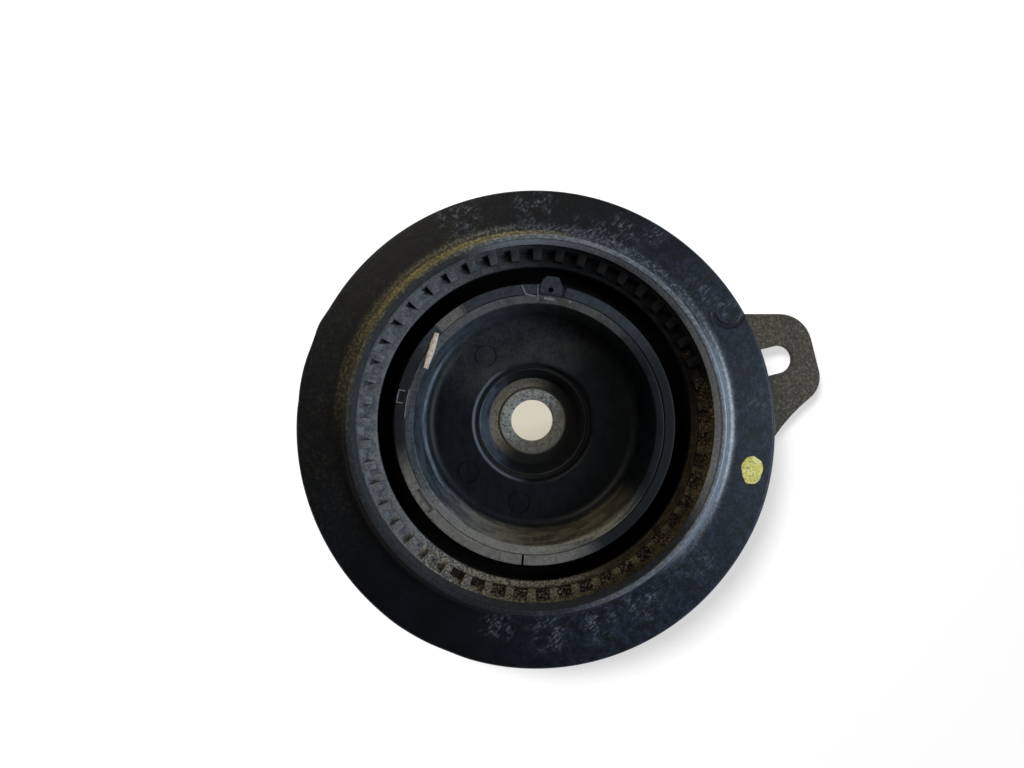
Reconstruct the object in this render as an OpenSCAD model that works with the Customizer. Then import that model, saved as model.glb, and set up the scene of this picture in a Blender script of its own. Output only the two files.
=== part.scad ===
// Strut mount for a MacPherson front strut, lying on its body side.
// The axis of the strut rod is Z. +Z points to the spring and the wheel, and the slotted tab lies along +Y.

/* [Rod hub] */
// Radius of the bore for the strut rod
bore_r = 7.15; // [6:0.05:8.5]
// Wall of the steel sleeve round the bore
sleeve_wall = 4.15; // [3:0.05:6]
// Length of the sleeve
sleeve_len = 7.4; // [6.5:0.1:9]
// Bare steel land round the sleeve, in front of the rubber
hub_land = 3.3; // [2:0.1:5]
// Width of the hub plate beyond the sleeve
hub_plate_w = 16.7; // [13:0.1:20]
// Thickness of the hub plate
hub_plate_t = 4; // [3:0.1:4.5]
// Rubber under the hub plate, on the body side
rubber_skin = 1; // [0.6:0.1:1.6]
// Rubber beyond the hub plate's edge
rubber_w = 7; // [4:0.5:9]

/* [Steel plates] */
// Thickness of the top plate
plate_t = 3; // [2:0.1:4]
// Radius of the top plate's flange
plate_r = 77.5; // [74:0.5:80]
// Height of the flange above the foot of the dome
dome_h = 6.5; // [5:0.1:9]
// Flat of the dome's foot beyond the rubber
dome_margin = 3; // [2:0.1:5]
// How far the dome's wall leans outwards
dome_flare = 4.5; // [3:0.1:7]
// How far the dome's opening stays inside the hub plate's edge
hub_catch = 4; // [2:0.1:7]
// Thickness of the closing plate
closing_t = 2; // [1.5:0.1:3]
// Height of the closing plate's middle above its flange
closing_rise = 2.5; // [2:0.1:4]
// Number of spot welds between the plates
weld_count = 8; // [4:1:12]
// Radius of a spot weld's dimple
weld_r = 2.4; // [1.5:0.1:3.5]

/* [Slotted tab] */
// Distance of the slot's middle from the axis
slot_reach = 83.2; // [81:0.1:90]
// Length of the slot from end to end
slot_len = 15; // [11:0.1:18]
// Width of the slot
slot_w = 9.4; // [7:0.1:11]
// Metal between the slot and the tab's end
slot_edge = 7.3; // [6:0.1:12]
// Half width of the tab's end on its straight side
tab_wide = 15.2; // [13:0.1:18]
// Half width of the tab's end on its flared side
tab_narrow = 16; // [13:0.1:18]
// Radius of the tab's outer corner on its straight side
tab_round = 11; // [6:0.1:12]
// Radius of the tab's outer corner on its flared side
tab_corner = 9; // [6:0.1:10]
// Lean of the tab's straight side, in degrees
tab_lean = 14; // [6:0.5:20]
// Lean of the tab's flared side where it leaves the corner, in degrees
tab_flare = 25; // [18:0.5:30]
// Fillet between the tab's straight side and the flange
tab_fillet = 6; // [3:0.5:10]

/* [Bump stop cup] */
// Flare of the recess from the hub's land to the cup's floor
recess_flare = 4.4; // [3:0.1:6]
// Width of the cup's floor from the recess to the wall
floor_w = 15.4; // [12:0.1:20]
// Thickness of the cup's floor
floor_t = 3; // [2:0.1:4]
// Depth of the cup from its rim to its floor
cup_depth = 16; // [13:0.1:20]
// How much wider the cup's mouth is than its floor
cup_draft = 3; // [1:0.1:4]
// Fillet between the floor and the wall
cup_fillet = 3.5; // [2:0.1:5]
// Rounded lip where the floor drops into the recess
recess_lip = 1.5; // [0.6:0.1:2]
// Width of the cup's own rim, inside the clip ring
rim_w = 2.6; // [1.8:0.1:4]
// Thickness of the cup's flange under the bearing
cup_flange_t = 2.5; // [2:0.1:4]
// Radius of the round moulding marks in the floor
mark_r = 3.6; // [2:0.1:4.5]
// Width and depth of a moulding mark's line
mark_line = 0.3; // [0.1:0.05:0.5]

/* [Clip ring] */
// Width of the clip ring
ring_w = 3.3; // [2.5:0.1:4.5]
// Gap of the split in the clip ring
ring_split = 0.7; // [0.4:0.1:1.5]
// How far the clip ring's lug stands out
lug_out = 2.6; // [1:0.1:3.5]
// Width of the lug at the ring
lug_w = 6.8; // [4:0.1:9]
// Width of the lug at its tip
lug_tip_w = 4; // [2:0.1:6]
// Height of the lug
lug_h = 4.2; // [2:0.1:5]
// Radius of the pin hole in the lug
lug_hole_r = 0.8; // [0.4:0.1:1.2]
// Depth of the shallow window in the ring's face
window_depth = 0.9; // [0.4:0.1:1.5]

/* [Bearing] */
// Radius of the balls
ball_r = 2.5; // [2:0.05:3]
// Number of balls
ball_count = 36; // [24:1:42]
// Distance of the ball circle beyond the seat's inner wall
ball_set = 3.9; // [3.6:0.1:5.5]
// Thickness of the pressed race rings
race_t = 1; // [0.8:0.05:1.4]
// Clearance between ball and race
ball_gap = 0.1; // [0.05:0.01:0.2]
// Thickness of the ball cage
cage_t = 1.4; // [1:0.1:1.8]
// Material of the cage beyond each ball pocket
cage_edge = 0.85; // [0.5:0.05:1.2]

/* [Spring seat] */
// Running gap between the clip ring and the spring seat
run_gap = 6.3; // [4.5:0.1:7]
// Height of the seat above the bearing
seat_h = 11.1; // [9:0.1:13]
// Width of the seat's inner lip, in front of the teeth
seat_lip = 1; // [0.6:0.1:2]
// Number of teeth round the seat
tooth_count = 48; // [30:1:60]
// Length of a tooth across the ring
tooth_len = 3.7; // [2.5:0.1:5]
// Gap between two teeth
tooth_gap = 4.3; // [2.5:0.1:4.6]
// Height of the teeth above the floor of the gap
tooth_h = 2.6; // [1.5:0.1:4]
// How far the wall behind the gap leans outwards
tooth_lean = 1.3; // [0.5:0.1:2]
// Wall outside the teeth, against the pad
seat_wall = 1.2; // [0.6:0.1:2]
// Web between the bearing and the seat's flange
seat_web = 3.6; // [2.5:0.1:5]
// Thickness of the seat's flange
seat_flange_t = 3.5; // [2.5:0.1:5]
// Overlap of the seat's catch under the cup's snap rib
catch_lap = 1.1; // [0.6:0.1:1.6]

/* [Spring pad] */
// Radius of the pad's outer edge
pad_r = 73.5; // [71:0.5:78]
// How far the pad's edge circle sits off the turning axis
pad_offset = 1.5; // [0:0.1:2]
// Thickness of the pad on the seat's flange
pad_t = 5; // [3:0.1:7]
// Rubber beyond the seat flange's edge
pad_edge = 5.5; // [3.5:0.1:7]
// Height of the centring bead above the pad
bead_h = 5; // [3:0.1:6]
// Flat on top of the bead
bead_flat = 0.6; // [0.3:0.1:2]
// Fillet outside the bead
bead_fillet = 5; // [3:0.1:6]

/* [Hidden] */
$fn = 96;

// Clearance between two pieces that are pressed or clipped together
fit_gap = 0.1;
// Clearance between a seal's lip and the face that it wipes
wipe_gap = 0.3;
// Extra length of a cutting shape beyond the face that it cuts
cut = 0.5;
// Small edge break on turned and moulded edges
edge = 0.4;
// Inside radius of the bends in the pressed plates
bend_r = 1.5;

// Bare steel and rubber steps at the hub and between the plates
closing_lip = 1;
step_gap = 0.5;
cone_foot = 0.7;
cone_soft = 1;
weld_depth = 0.4;

// Steps of the cup's saddle and snap rib, and of the clip ring's groove
saddle_w = 2.4;
saddle_lean = 1.1;
race_floor = 0.5;
flange_cover = 1.5;
closing_margin = 2.5;
snap_gap = 0.5;
snap_face = 0.7;
snap_lead = 1.2;
snap_h = 2.5;
groove_up = 2;
groove_h = 1.2;
groove_d = 0.6;
lug_rise = 0.25;

// Line of contact of the balls, and the ends of a race about a ball, in degrees
contact_angle = 45;
race_from = 5;
race_to = 85;

// Steps of the seat's catch, skirt and lip
catch_gap = 1;
catch_t = 2;
skirt_gap = 0.7;
skirt_t = 2.5;
skirt_drop = 1.2;
skirt_fillet = 1;
lip_step = 0.2;

// Section of the two lip seals
seal_set = 0.2;
seal_w = 1.5;
seal_drop = 1.2;
seal_base_t = 1.3;
seal_lip_t = 1;
seal_lip_h = 0.6;

// Section of the pad's bead, hook and rounded edges
bead_lean = 0.6;
bead_foot = 2;
pad_hook_t = 1.2;
pad_hook_w = 1.5;
pad_rim_r = 1.2;
pad_under_r = 2;

// Directions, in degrees from +X
tab_dir = 90;
lug_dir = 159;
split_dir = 341;
window_dir = 290.5;
window_sweep = 11;
tooth_dir = 0;
pad_offset_dir = 359;
mark_dirs = [201.5, 293.5, 336];

// Radii, from the bore outwards
sleeve_r = bore_r + sleeve_wall;
hub_face_r = sleeve_r + hub_land;
hub_plate_r = sleeve_r + hub_plate_w;
rubber_r = hub_plate_r + rubber_w;
recess_r = hub_face_r + recess_flare;
closing_in_r = recess_r - closing_lip;
cup_floor_r = recess_r + floor_w;
cup_mouth_r = cup_floor_r + cup_draft;
cup_wall_r = cup_mouth_r + rim_w;
ring_in_r = cup_wall_r + fit_gap;
ring_out_r = cup_wall_r + ring_w;
seat_in_r = ring_out_r + run_gap;
ball_circle_r = seat_in_r + ball_set;
tooth_in_r = seat_in_r + seat_lip;
tooth_out_r = tooth_in_r + tooth_len;
seat_out_r = tooth_out_r + seat_wall;
seat_flange_r = pad_r - pad_edge;

// Radii of the bearing's section, about the middle of a ball
race_in = ball_r + ball_gap;
race_out = race_in + race_t;
race_seat = race_out + fit_gap;

// Radii of the catch, the skirt and the flange below the seat
catch_in_r = ring_out_r + catch_gap;
rib_out_r = catch_in_r + catch_lap;
saddle_in_r = ball_circle_r - race_seat - saddle_w;
skirt_in_r = ball_circle_r + race_seat + skirt_gap;
skirt_out_r = skirt_in_r + skirt_t;
cup_flange_r = skirt_in_r + flange_cover;
closing_r = cup_flange_r + closing_margin;

// Heights, from the foot of the dome upwards
plate_top = dome_h + plate_t;
closing_top = plate_top + closing_t;
closing_under = plate_top + closing_rise;
cup_base = closing_top + closing_rise;
cup_floor = cup_base + floor_t;
cup_top = cup_floor + cup_depth;
hub_under = plate_t + rubber_skin;
hub_top = hub_under + hub_plate_t;
sleeve_top = hub_top + edge;
saddle_base = closing_top + cup_flange_t;
ball_z = saddle_base + race_floor + race_seat;
seat_under = ball_z + race_seat;
skirt_base = ball_z - skirt_drop;
catch_top = seat_under + fit_gap;
catch_base = catch_top - catch_t;
snap_base = catch_top + snap_gap;
ring_base = snap_base + snap_h;
groove_z = ring_base + groove_up;
seat_top = seat_under + seat_h;
tooth_base = seat_top - tooth_h;
lip_top = tooth_base - lip_step;
seat_flange_z = seat_under + seat_web;
seat_flange_top = seat_flange_z + seat_flange_t;
pad_top = seat_flange_top + pad_t;
bead_top = pad_top + bead_h;

// Places of the dome's wall and of the closing plate's step
dome_foot_r = rubber_r + dome_margin;
dome_top_r = dome_foot_r + dome_flare;
dome_angle = atan2(dome_h, dome_flare);
dome_shift = plate_t * tan(dome_angle / 2);
dome_in_r = hub_plate_r - hub_catch;
closing_step_r = dome_top_r - step_gap;
closing_run = 5;
closing_angle = atan2(closing_rise, closing_run);
closing_shift = closing_t * tan(closing_angle / 2);

// End of the tab, how far its sides run into the flange, and where its root lies under the flange
tab_end = slot_reach + slot_len / 2 + slot_edge;
tab_bite = 0.3;
tab_root = 18;

// Points of a round stretch about a middle, from one angle to another
function arc(middle, radius, from, to, steps = 8) =
  [for (i = [0:steps])
    let (angle = from + (to - from) * i / steps)
    middle + radius * [cos(angle), sin(angle)]];

function unit(v) = v / norm(v);
function place(point) = [point[0], point[1]];
function rounding(point) = len(point) > 2 ? point[2] : 0;

// A corner between two neighbours, replaced by a round stretch
function corner(before, tip, after, radius, steps) =
  let (
    back = unit(before - tip),
    ahead = unit(after - tip),
    half = acos(back * ahead) / 2,
    middle = tip + unit(back + ahead) * radius / sin(half),
    first = tip + back * radius / tan(half) - middle,
    turn = back[0] * ahead[1] - back[1] * ahead[0] > 0 ? 2 * half - 180 : 180 - 2 * half,
    from = atan2(first[1], first[0])
  ) arc(middle, radius, from, from + turn, steps);

// A closed outline of [x, y, rounding] points with its corners rounded
function softened(points, steps = 4) =
  let (count = len(points))
  [for (i = [0:count - 1])
    let (tip = place(points[i]), radius = rounding(points[i]))
    each radius > 0
      ? corner(place(points[(i + count - 1) % count]), tip, place(points[(i + 1) % count]), radius, steps)
      : [tip]];

// A ring from a list of [radius, height, rounding] points
module turned(points, steps = 4) {
  rotate_extrude() polygon(softened(points, steps));
}

// A piece set at a distance from the axis, turned to a direction
module at(direction, distance, height = 0) {
  rotate(direction) translate([distance, 0, height]) children();
}

// Pressed race ring that fills part of a round groove about the ball circle
module race_ring(from, to) {
  reach = 2 * race_out;
  half = (from + to) / 2;
  rotate_extrude() translate([ball_circle_r, ball_z]) intersection() {
    difference() {
      circle(race_out);
      circle(race_in);
    }
    polygon(concat([[0, 0]], [for (angle = [from, half, to]) reach * [cos(angle), sin(angle)]]));
  }
}

// Direction from a point to the axis, in degrees
function inward(point) = atan2(-point[1], -point[0]);

// Outline of the tab, with the tab's length along X and its straight side on +Y.
// Both sides run into a circle just inside the flange's edge.
module tab_outline() {
  meet_r = plate_r - tab_bite;
  upper = [tab_end - tab_round, tab_wide - tab_round];
  lower = [tab_end - tab_corner, tab_corner - tab_narrow];
  side_normal = [sin(tab_lean), cos(tab_lean)];
  side_off = side_normal * upper + tab_round + tab_fillet;
  side_along = sqrt(pow(meet_r + tab_fillet, 2) - pow(side_off, 2));
  fillet_middle = side_off * side_normal + side_along * [cos(tab_lean), -sin(tab_lean)];
  flare_normal = [sin(tab_flare), -cos(tab_flare)];
  leave = lower + tab_corner * flare_normal;
  flare_r = (leave * leave - meet_r * meet_r) / (2 * (meet_r - leave * flare_normal));
  flare_middle = leave + flare_r * flare_normal;
  root = meet_r - tab_root;
  polygon(concat(
    [[root, tab_wide]],
    arc(fillet_middle, tab_fillet, inward(fillet_middle) + 360, 270 - tab_lean),
    arc(upper, tab_round, 90 - tab_lean, 0),
    arc(lower, tab_corner, 0, tab_flare - 90),
    arc(flare_middle, flare_r, 90 + tab_flare, inward(flare_middle)),
    [[root, -tab_narrow]]));
}

module slot_outline() {
  half = slot_len / 2 - slot_w / 2;
  translate([slot_reach - half, 0]) circle(d = slot_w);
  translate([slot_reach + half, 0]) circle(d = slot_w);
  translate([slot_reach - half, -slot_w / 2]) square([2 * half, slot_w]);
}

// Pressed steel plate against the body, with the dome and the slotted tab
module top_plate() {
  color("#3a3733") difference() {
    union() {
      turned([[dome_in_r, 0, edge], [dome_foot_r, 0, bend_r + plate_t], [dome_top_r, dome_h, bend_r],
        [plate_r, dome_h, edge], [plate_r, plate_top, edge],
        [dome_top_r - dome_shift, plate_top, bend_r + plate_t], [dome_foot_r - dome_shift, plate_t, bend_r],
        [dome_in_r, plate_t]]);
      translate([0, 0, dome_h]) rotate(tab_dir) linear_extrude(plate_t) tab_outline();
    }
    translate([0, 0, dome_h - cut]) rotate(tab_dir) linear_extrude(plate_t + 2 * cut) slot_outline();
    for (i = [0:weld_count - 1])
      at((i + 0.5) * 360 / weld_count, (dome_top_r + closing_r) / 2, dome_h - cut)
        cylinder(cut + weld_depth, r = weld_r);
  }
}

// Steel plate that closes the rubber in and carries the cup
module closing_plate() {
  inner_r = closing_step_r - closing_run;
  color("#2b2a29") turned([[closing_in_r, closing_under], [inner_r, closing_under, bend_r],
    [closing_step_r, plate_top, bend_r], [closing_r, plate_top], [closing_r, closing_top, edge],
    [closing_step_r + closing_shift, closing_top, bend_r], [inner_r + closing_shift, cup_base, bend_r],
    [closing_in_r, cup_base]]);
}

// Rubber bonded round the hub plate and between the two steel plates
module core_rubber() {
  color("#17181a") turned([[hub_face_r, hub_top], [hub_plate_r, hub_top], [hub_plate_r, hub_under],
    [hub_face_r - rubber_skin, hub_under], [hub_face_r, plate_t, edge], [rubber_r, plate_t],
    [rubber_r, closing_under], [closing_in_r, closing_under], [closing_in_r, cup_base],
    [closing_in_r - edge, cup_base], [hub_face_r + cone_foot, hub_top + cone_soft, cone_soft]]);
}

// Steel sleeve that the rod's shoulder clamps
module hub_sleeve() {
  base = sleeve_top - sleeve_len;
  color("#8b8880") turned([[bore_r, base + edge], [bore_r + edge, base], [sleeve_r - edge, base],
    [sleeve_r, base + edge], [sleeve_r, sleeve_top - edge], [sleeve_r - edge, sleeve_top],
    [bore_r + edge, sleeve_top], [bore_r, sleeve_top - edge]]);
}

// Steel disc on the sleeve, bonded into the rubber
module hub_plate() {
  color("#6d665c") turned([[sleeve_r, hub_under], [hub_plate_r, hub_under], [hub_plate_r, hub_top],
    [sleeve_r, hub_top]]);
}

// Moulded cup for the bump stop, with the flange and the saddle that carry the bearing
module bump_cup() {
  step_out_r = closing_step_r + closing_shift + step_gap;
  step_in_r = step_out_r - closing_run;
  snap_top = snap_base + snap_face + snap_lead;
  bed_in_r = ball_circle_r - race_seat;
  color("#20242a") difference() {
    turned([[recess_r, cup_base], [recess_r, cup_floor, recess_lip], [cup_floor_r, cup_floor, cup_fillet],
      [cup_mouth_r, cup_top, edge], [cup_wall_r, cup_top, edge], [cup_wall_r, groove_z + groove_h],
      [cup_wall_r - groove_d, groove_z + groove_h], [cup_wall_r - groove_d, groove_z], [cup_wall_r, groove_z],
      [cup_wall_r, ring_base], [ring_out_r, ring_base], [ring_out_r, snap_top],
      [rib_out_r, snap_base + snap_face], [rib_out_r, snap_base], [ring_out_r, snap_base],
      [ring_out_r, saddle_base], [saddle_in_r, saddle_base],
      [saddle_in_r + saddle_lean, ball_z + edge, edge], [bed_in_r, ball_z + edge],
      [bed_in_r, ball_z - race_seat, race_seat], [ball_circle_r + race_floor, ball_z - race_seat],
      [ball_circle_r + 2 * race_floor, saddle_base], [cup_flange_r, saddle_base, edge],
      [cup_flange_r, closing_top], [step_out_r, closing_top], [step_in_r, cup_base]], 7);
    for (direction = mark_dirs)
      at(direction, (recess_r + cup_floor_r) / 2, cup_floor - mark_line) floor_mark();
  }
}

// Fine round line left in the floor by a mould insert
module floor_mark() {
  difference() {
    cylinder(mark_line + cut, r = mark_r);
    translate([0, 0, -cut]) cylinder(mark_line + 3 * cut, r = mark_r - mark_line);
  }
}

// Split ring clipped round the cup's rim, with a lug opposite the split
module clip_ring() {
  lug_base = cup_top - lug_h;
  bead_in_r = cup_wall_r - groove_d + 2 * fit_gap;
  mid_r = (ring_in_r + ring_out_r) / 2;
  color("#25272b") difference() {
    union() {
      turned([[ring_in_r, ring_base], [ring_out_r, ring_base], [ring_out_r, cup_top - edge],
        [ring_out_r - edge, cup_top], [ring_in_r + edge / 2, cup_top], [ring_in_r, cup_top - edge / 2],
        [ring_in_r, groove_z + groove_h - fit_gap], [bead_in_r, groove_z + groove_h - 2 * fit_gap],
        [bead_in_r, groove_z + 2 * fit_gap], [ring_in_r, groove_z + fit_gap]]);
      rotate(lug_dir) translate([0, 0, lug_base]) linear_extrude(lug_h + lug_rise) polygon([
        [ring_in_r + edge, -lug_w / 2], [ring_out_r, -lug_w / 2], [ring_out_r + lug_out, -lug_tip_w / 2],
        [ring_out_r + lug_out, lug_tip_w / 2], [ring_out_r, lug_w / 2], [ring_in_r + edge, lug_w / 2]]);
    }
    at(lug_dir, mid_r, lug_base) cylinder(lug_h + cut, r = lug_hole_r);
    rotate(split_dir) translate([bead_in_r - cut, -ring_split / 2, ring_base - cut])
      cube([ring_out_r - bead_in_r + 2 * cut, ring_split, cup_top - ring_base + 2 * cut]);
    translate([0, 0, cup_top - window_depth]) rotate(window_dir - window_sweep / 2)
      rotate_extrude(angle = window_sweep) translate([ring_in_r + edge, 0])
        square([ring_w - 3 * edge, window_depth + cut]);
  }
}

// Race ring under the balls, on the fixed side
module mount_race() {
  color("#a7a9ab") race_ring(180 + race_from, 180 + race_to);
}

// Race ring over the balls, on the turning side
module seat_race() {
  color("#a7a9ab") race_ring(race_from, race_to);
}

// Slanted cage ring, pierced square to the line of contact of the balls
module ball_cage() {
  half = ball_r + 2 * fit_gap + cage_edge;
  color("#d8d2bf") difference() {
    rotate_extrude() translate([ball_circle_r, ball_z]) rotate(90 + contact_angle)
      square([2 * half, cage_t], center = true);
    for (i = [0:ball_count - 1])
      at(i * 360 / ball_count, ball_circle_r, ball_z) rotate([0, contact_angle, 0])
        cylinder(4 * cage_t, r = ball_r + 2 * fit_gap, center = true);
  }
}

module bearing_balls() {
  color("#c9cbcd")
    for (i = [0:ball_count - 1])
      at(i * 360 / ball_count, ball_circle_r, ball_z) sphere(ball_r);
}

// Lip seal between the seat's catch and the cup's wall
module inner_seal() {
  lip_r = ring_out_r + wipe_gap;
  seal_in_r = catch_in_r + seal_set;
  lip_z = saddle_base + seal_lip_h;
  color("#141516") turned([[seal_in_r, catch_base], [seal_in_r + seal_w, catch_base],
    [seal_in_r + seal_w, catch_base - seal_drop], [lip_r + seal_drop, saddle_base + seal_lip_t],
    [lip_r, lip_z], [lip_r, lip_z + seal_lip_t]]);
}

// Lip seal under the seat's skirt, against the cup's flange
module outer_seal() {
  lip_z = saddle_base + wipe_gap;
  seal_base = skirt_base - seal_base_t;
  color("#141516") turned([[skirt_in_r, skirt_base], [skirt_in_r, skirt_base - seal_lip_t],
    [skirt_in_r - seal_lip_h, lip_z], [skirt_in_r + seal_set, lip_z], [skirt_in_r + seal_drop, seal_base],
    [skirt_out_r, seal_base], [skirt_out_r, skirt_base]]);
}

// The room between two teeth, open to the inside, with the leaning wall behind it
module tooth_space() {
  over = seat_top + cut;
  wall_foot_r = tooth_out_r - tooth_lean;
  wall_over_r = tooth_out_r + tooth_lean * cut / tooth_h;
  translate([0, tooth_gap / 2, 0]) rotate([90, 0, 0]) linear_extrude(tooth_gap)
    polygon([[tooth_in_r - cut, tooth_base], [wall_foot_r, tooth_base], [wall_over_r, over],
      [tooth_in_r - cut, over]]);
}

// Moulded spring seat that turns with the spring, with its ring of teeth
module spring_seat() {
  groove_r = ball_circle_r + race_seat;
  color("#22262b") difference() {
    turned([[catch_in_r, catch_base], [seat_in_r, catch_base], [seat_in_r + edge, seat_under],
      [groove_r, seat_under, race_seat], [groove_r, ball_z - edge], [skirt_in_r, ball_z - edge],
      [skirt_in_r, skirt_base], [skirt_out_r, skirt_base], [skirt_out_r, seat_flange_z, skirt_fillet],
      [seat_flange_r, seat_flange_z], [seat_flange_r, seat_flange_top], [seat_out_r, seat_flange_top],
      [seat_out_r, seat_top, edge / 2], [tooth_in_r, seat_top, edge / 2], [tooth_in_r, lip_top],
      [seat_in_r, lip_top, seat_lip / 2], [seat_in_r, catch_top], [catch_in_r, catch_top]], 7);
    for (i = [0:tooth_count - 1])
      rotate(tooth_dir + (i + 0.5) * 360 / tooth_count) tooth_space();
  }
}

// Rubber pad under the spring, with its centring bead and an edge that hooks round the seat's flange
module spring_pad() {
  bead_in_r = seat_out_r + bead_lean;
  bead_out_r = bead_in_r + bead_flat;
  fillet = min(bead_fillet, bead_h - edge);
  join_r = bead_out_r + fillet + bead_foot;
  inner_r = bead_out_r + pad_offset + edge;
  hook_z = seat_flange_z - pad_hook_t;
  hook_r = seat_flange_r - pad_hook_w;
  color("#1c1d1f") difference() {
    union() {
      turned([[seat_out_r, seat_flange_top], [join_r, seat_flange_top], [join_r, pad_top],
        [bead_out_r, pad_top, fillet], [bead_out_r, bead_top, bead_flat / 3],
        [bead_in_r, bead_top, bead_flat / 3], [seat_out_r, seat_top]], 8);
      rotate(pad_offset_dir) translate([pad_offset, 0, 0])
        turned([[inner_r, hook_z], [pad_r - edge, hook_z, pad_under_r], [pad_r, pad_top, pad_rim_r],
          [inner_r, pad_top]], 5);
    }
    turned([[seat_out_r - cut, hook_z - cut], [hook_r, hook_z - cut], [hook_r, seat_flange_z],
      [seat_flange_r, seat_flange_z], [seat_flange_r, seat_flange_top], [seat_out_r - cut, seat_flange_top]]);
  }
}

top_plate();
closing_plate();
core_rubber();
hub_sleeve();
hub_plate();
bump_cup();
clip_ring();
mount_race();
seat_race();
ball_cage();
bearing_balls();
inner_seal();
outer_seal();
spring_seat();
spring_pad();
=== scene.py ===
"""Looks of the strut mount: smooth meshes, finishes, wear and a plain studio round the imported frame.

Sizes are millimetres in the part's frame, directions are degrees from +X. Meshes become metres when they
are handed over.
"""

import logging
import math
import random
from dataclasses import dataclass
from enum import Enum
from typing import Mapping, Sequence, Union

import bmesh
import bpy
from mathutils import Euler, Matrix, Vector

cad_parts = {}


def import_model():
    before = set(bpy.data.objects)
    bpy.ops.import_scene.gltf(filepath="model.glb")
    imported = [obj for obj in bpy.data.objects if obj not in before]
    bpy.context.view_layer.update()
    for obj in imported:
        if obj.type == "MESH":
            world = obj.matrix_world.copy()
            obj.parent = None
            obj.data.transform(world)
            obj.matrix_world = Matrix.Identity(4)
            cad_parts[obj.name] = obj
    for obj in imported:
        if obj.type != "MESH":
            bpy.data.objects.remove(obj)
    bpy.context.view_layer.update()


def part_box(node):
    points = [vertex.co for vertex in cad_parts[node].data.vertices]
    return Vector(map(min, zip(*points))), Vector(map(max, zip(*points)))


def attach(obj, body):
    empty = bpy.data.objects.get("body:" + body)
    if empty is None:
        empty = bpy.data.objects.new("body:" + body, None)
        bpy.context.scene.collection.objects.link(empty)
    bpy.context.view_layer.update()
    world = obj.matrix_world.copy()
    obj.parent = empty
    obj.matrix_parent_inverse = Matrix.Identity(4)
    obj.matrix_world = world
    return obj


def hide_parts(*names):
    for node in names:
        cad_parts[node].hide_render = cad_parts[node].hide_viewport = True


LOG = logging.getLogger("strut_mount")
MM = 0.001  # metres in a millimetre
VIEW_TURN = 75.96  # direction of the right of the main view
MERGE_GAP = 1e-4  # points that are nearer become one
CLEAR = 0.02  # keeps two faces apart
SMOOTH_TO = 38.0  # edges that are sharper stay sharp
COAT_ROUGHNESS = 0.32
SRGB_KNEE = 0.04045
SRGB_SLOPE = 12.92
SRGB_OFFSET = 0.055
SRGB_POWER = 2.4

Thing = bpy.types.Object
Colour = tuple[float, float, float, float]
Term = Union["Wire", float]
Coat = tuple[Term, Colour]


class Body(Enum):
    """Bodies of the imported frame."""

    MOUNT = "mount"
    SEAT = "seat"
    CAGE = "cage"


class Reach(Enum):
    """What a light falls on, as a light link's state for the floor."""

    PART = "EXCLUDE"
    FLOOR = "INCLUDE"


class Slot(Enum):
    """Material slots of the record."""

    PLATE = "plate_steel"
    HUB = "hub_steel"
    RUBBER = "rubber"
    CUP = "cup_plastic"
    SEAT = "seat_plastic"
    RACE = "race_steel"
    BALL = "ball_steel"
    CAGE = "cage_plastic"


def seen(angle: float) -> float:
    """Direction in the part's frame of an angle in the main view, counted from its right."""
    return angle + VIEW_TURN


def rgb(red: int, green: int, blue: int) -> Colour:
    """Linear colour of an sRGB colour with channels from 0 to 255."""
    channels = []
    for channel in (red, green, blue):
        part = channel / 255
        curved = ((part + SRGB_OFFSET) / (1 + SRGB_OFFSET)) ** SRGB_POWER
        channels.append(part / SRGB_SLOPE if part <= SRGB_KNEE else curved)
    return (channels[0], channels[1], channels[2], 1.0)


DEEP_SHADE = rgb(1, 1, 1)


def on_circle(direction: float, radius: float, height: float) -> Vector:
    """Point at a direction, a distance from the axis and a height."""
    turn = math.radians(direction)
    return Vector((radius * math.cos(turn), radius * math.sin(turn), height))


def eased(value: float, low: float, high: float) -> float:
    """Smooth step of a value from 0 at low to 1 at high."""
    share = min(max((value - low) / (high - low), 0.0), 1.0)
    return share * share * (3 - 2 * share)


class Wire:
    """A node's output socket that takes part in arithmetic."""

    def __init__(self, graph: "Graph", socket: bpy.types.NodeSocket) -> None:
        """Keep the socket and the graph that it belongs to."""
        self.graph = graph
        self.socket = socket

    def _math(self, operation: str, first: Term, second: Term) -> "Wire":
        """Add one Math node and return its result."""
        return self.graph.make("ShaderNodeMath", {"operation": operation}, {0: first, 1: second})

    def __add__(self, other: Term) -> "Wire":
        """Sum with a wire or a number."""
        return self._math("ADD", self, other)

    def __radd__(self, other: Term) -> "Wire":
        """Sum of a number and this wire."""
        return self._math("ADD", other, self)

    def __sub__(self, other: Term) -> "Wire":
        """Difference from a wire or a number."""
        return self._math("SUBTRACT", self, other)

    def __rsub__(self, other: Term) -> "Wire":
        """Number less this wire."""
        return self._math("SUBTRACT", other, self)

    def __mul__(self, other: Term) -> "Wire":
        """Product with a wire or a number."""
        return self._math("MULTIPLY", self, other)

    def __rmul__(self, other: Term) -> "Wire":
        """Product of a number and this wire."""
        return self._math("MULTIPLY", other, self)

    def __truediv__(self, other: Term) -> "Wire":
        """Quotient by a wire or a number."""
        return self._math("DIVIDE", self, other)

    def __rtruediv__(self, other: Term) -> "Wire":
        """Number over this wire."""
        return self._math("DIVIDE", other, self)

    def most(self, other: Term) -> "Wire":
        """Greater of this wire and another term."""
        return self._math("MAXIMUM", self, other)


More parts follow.
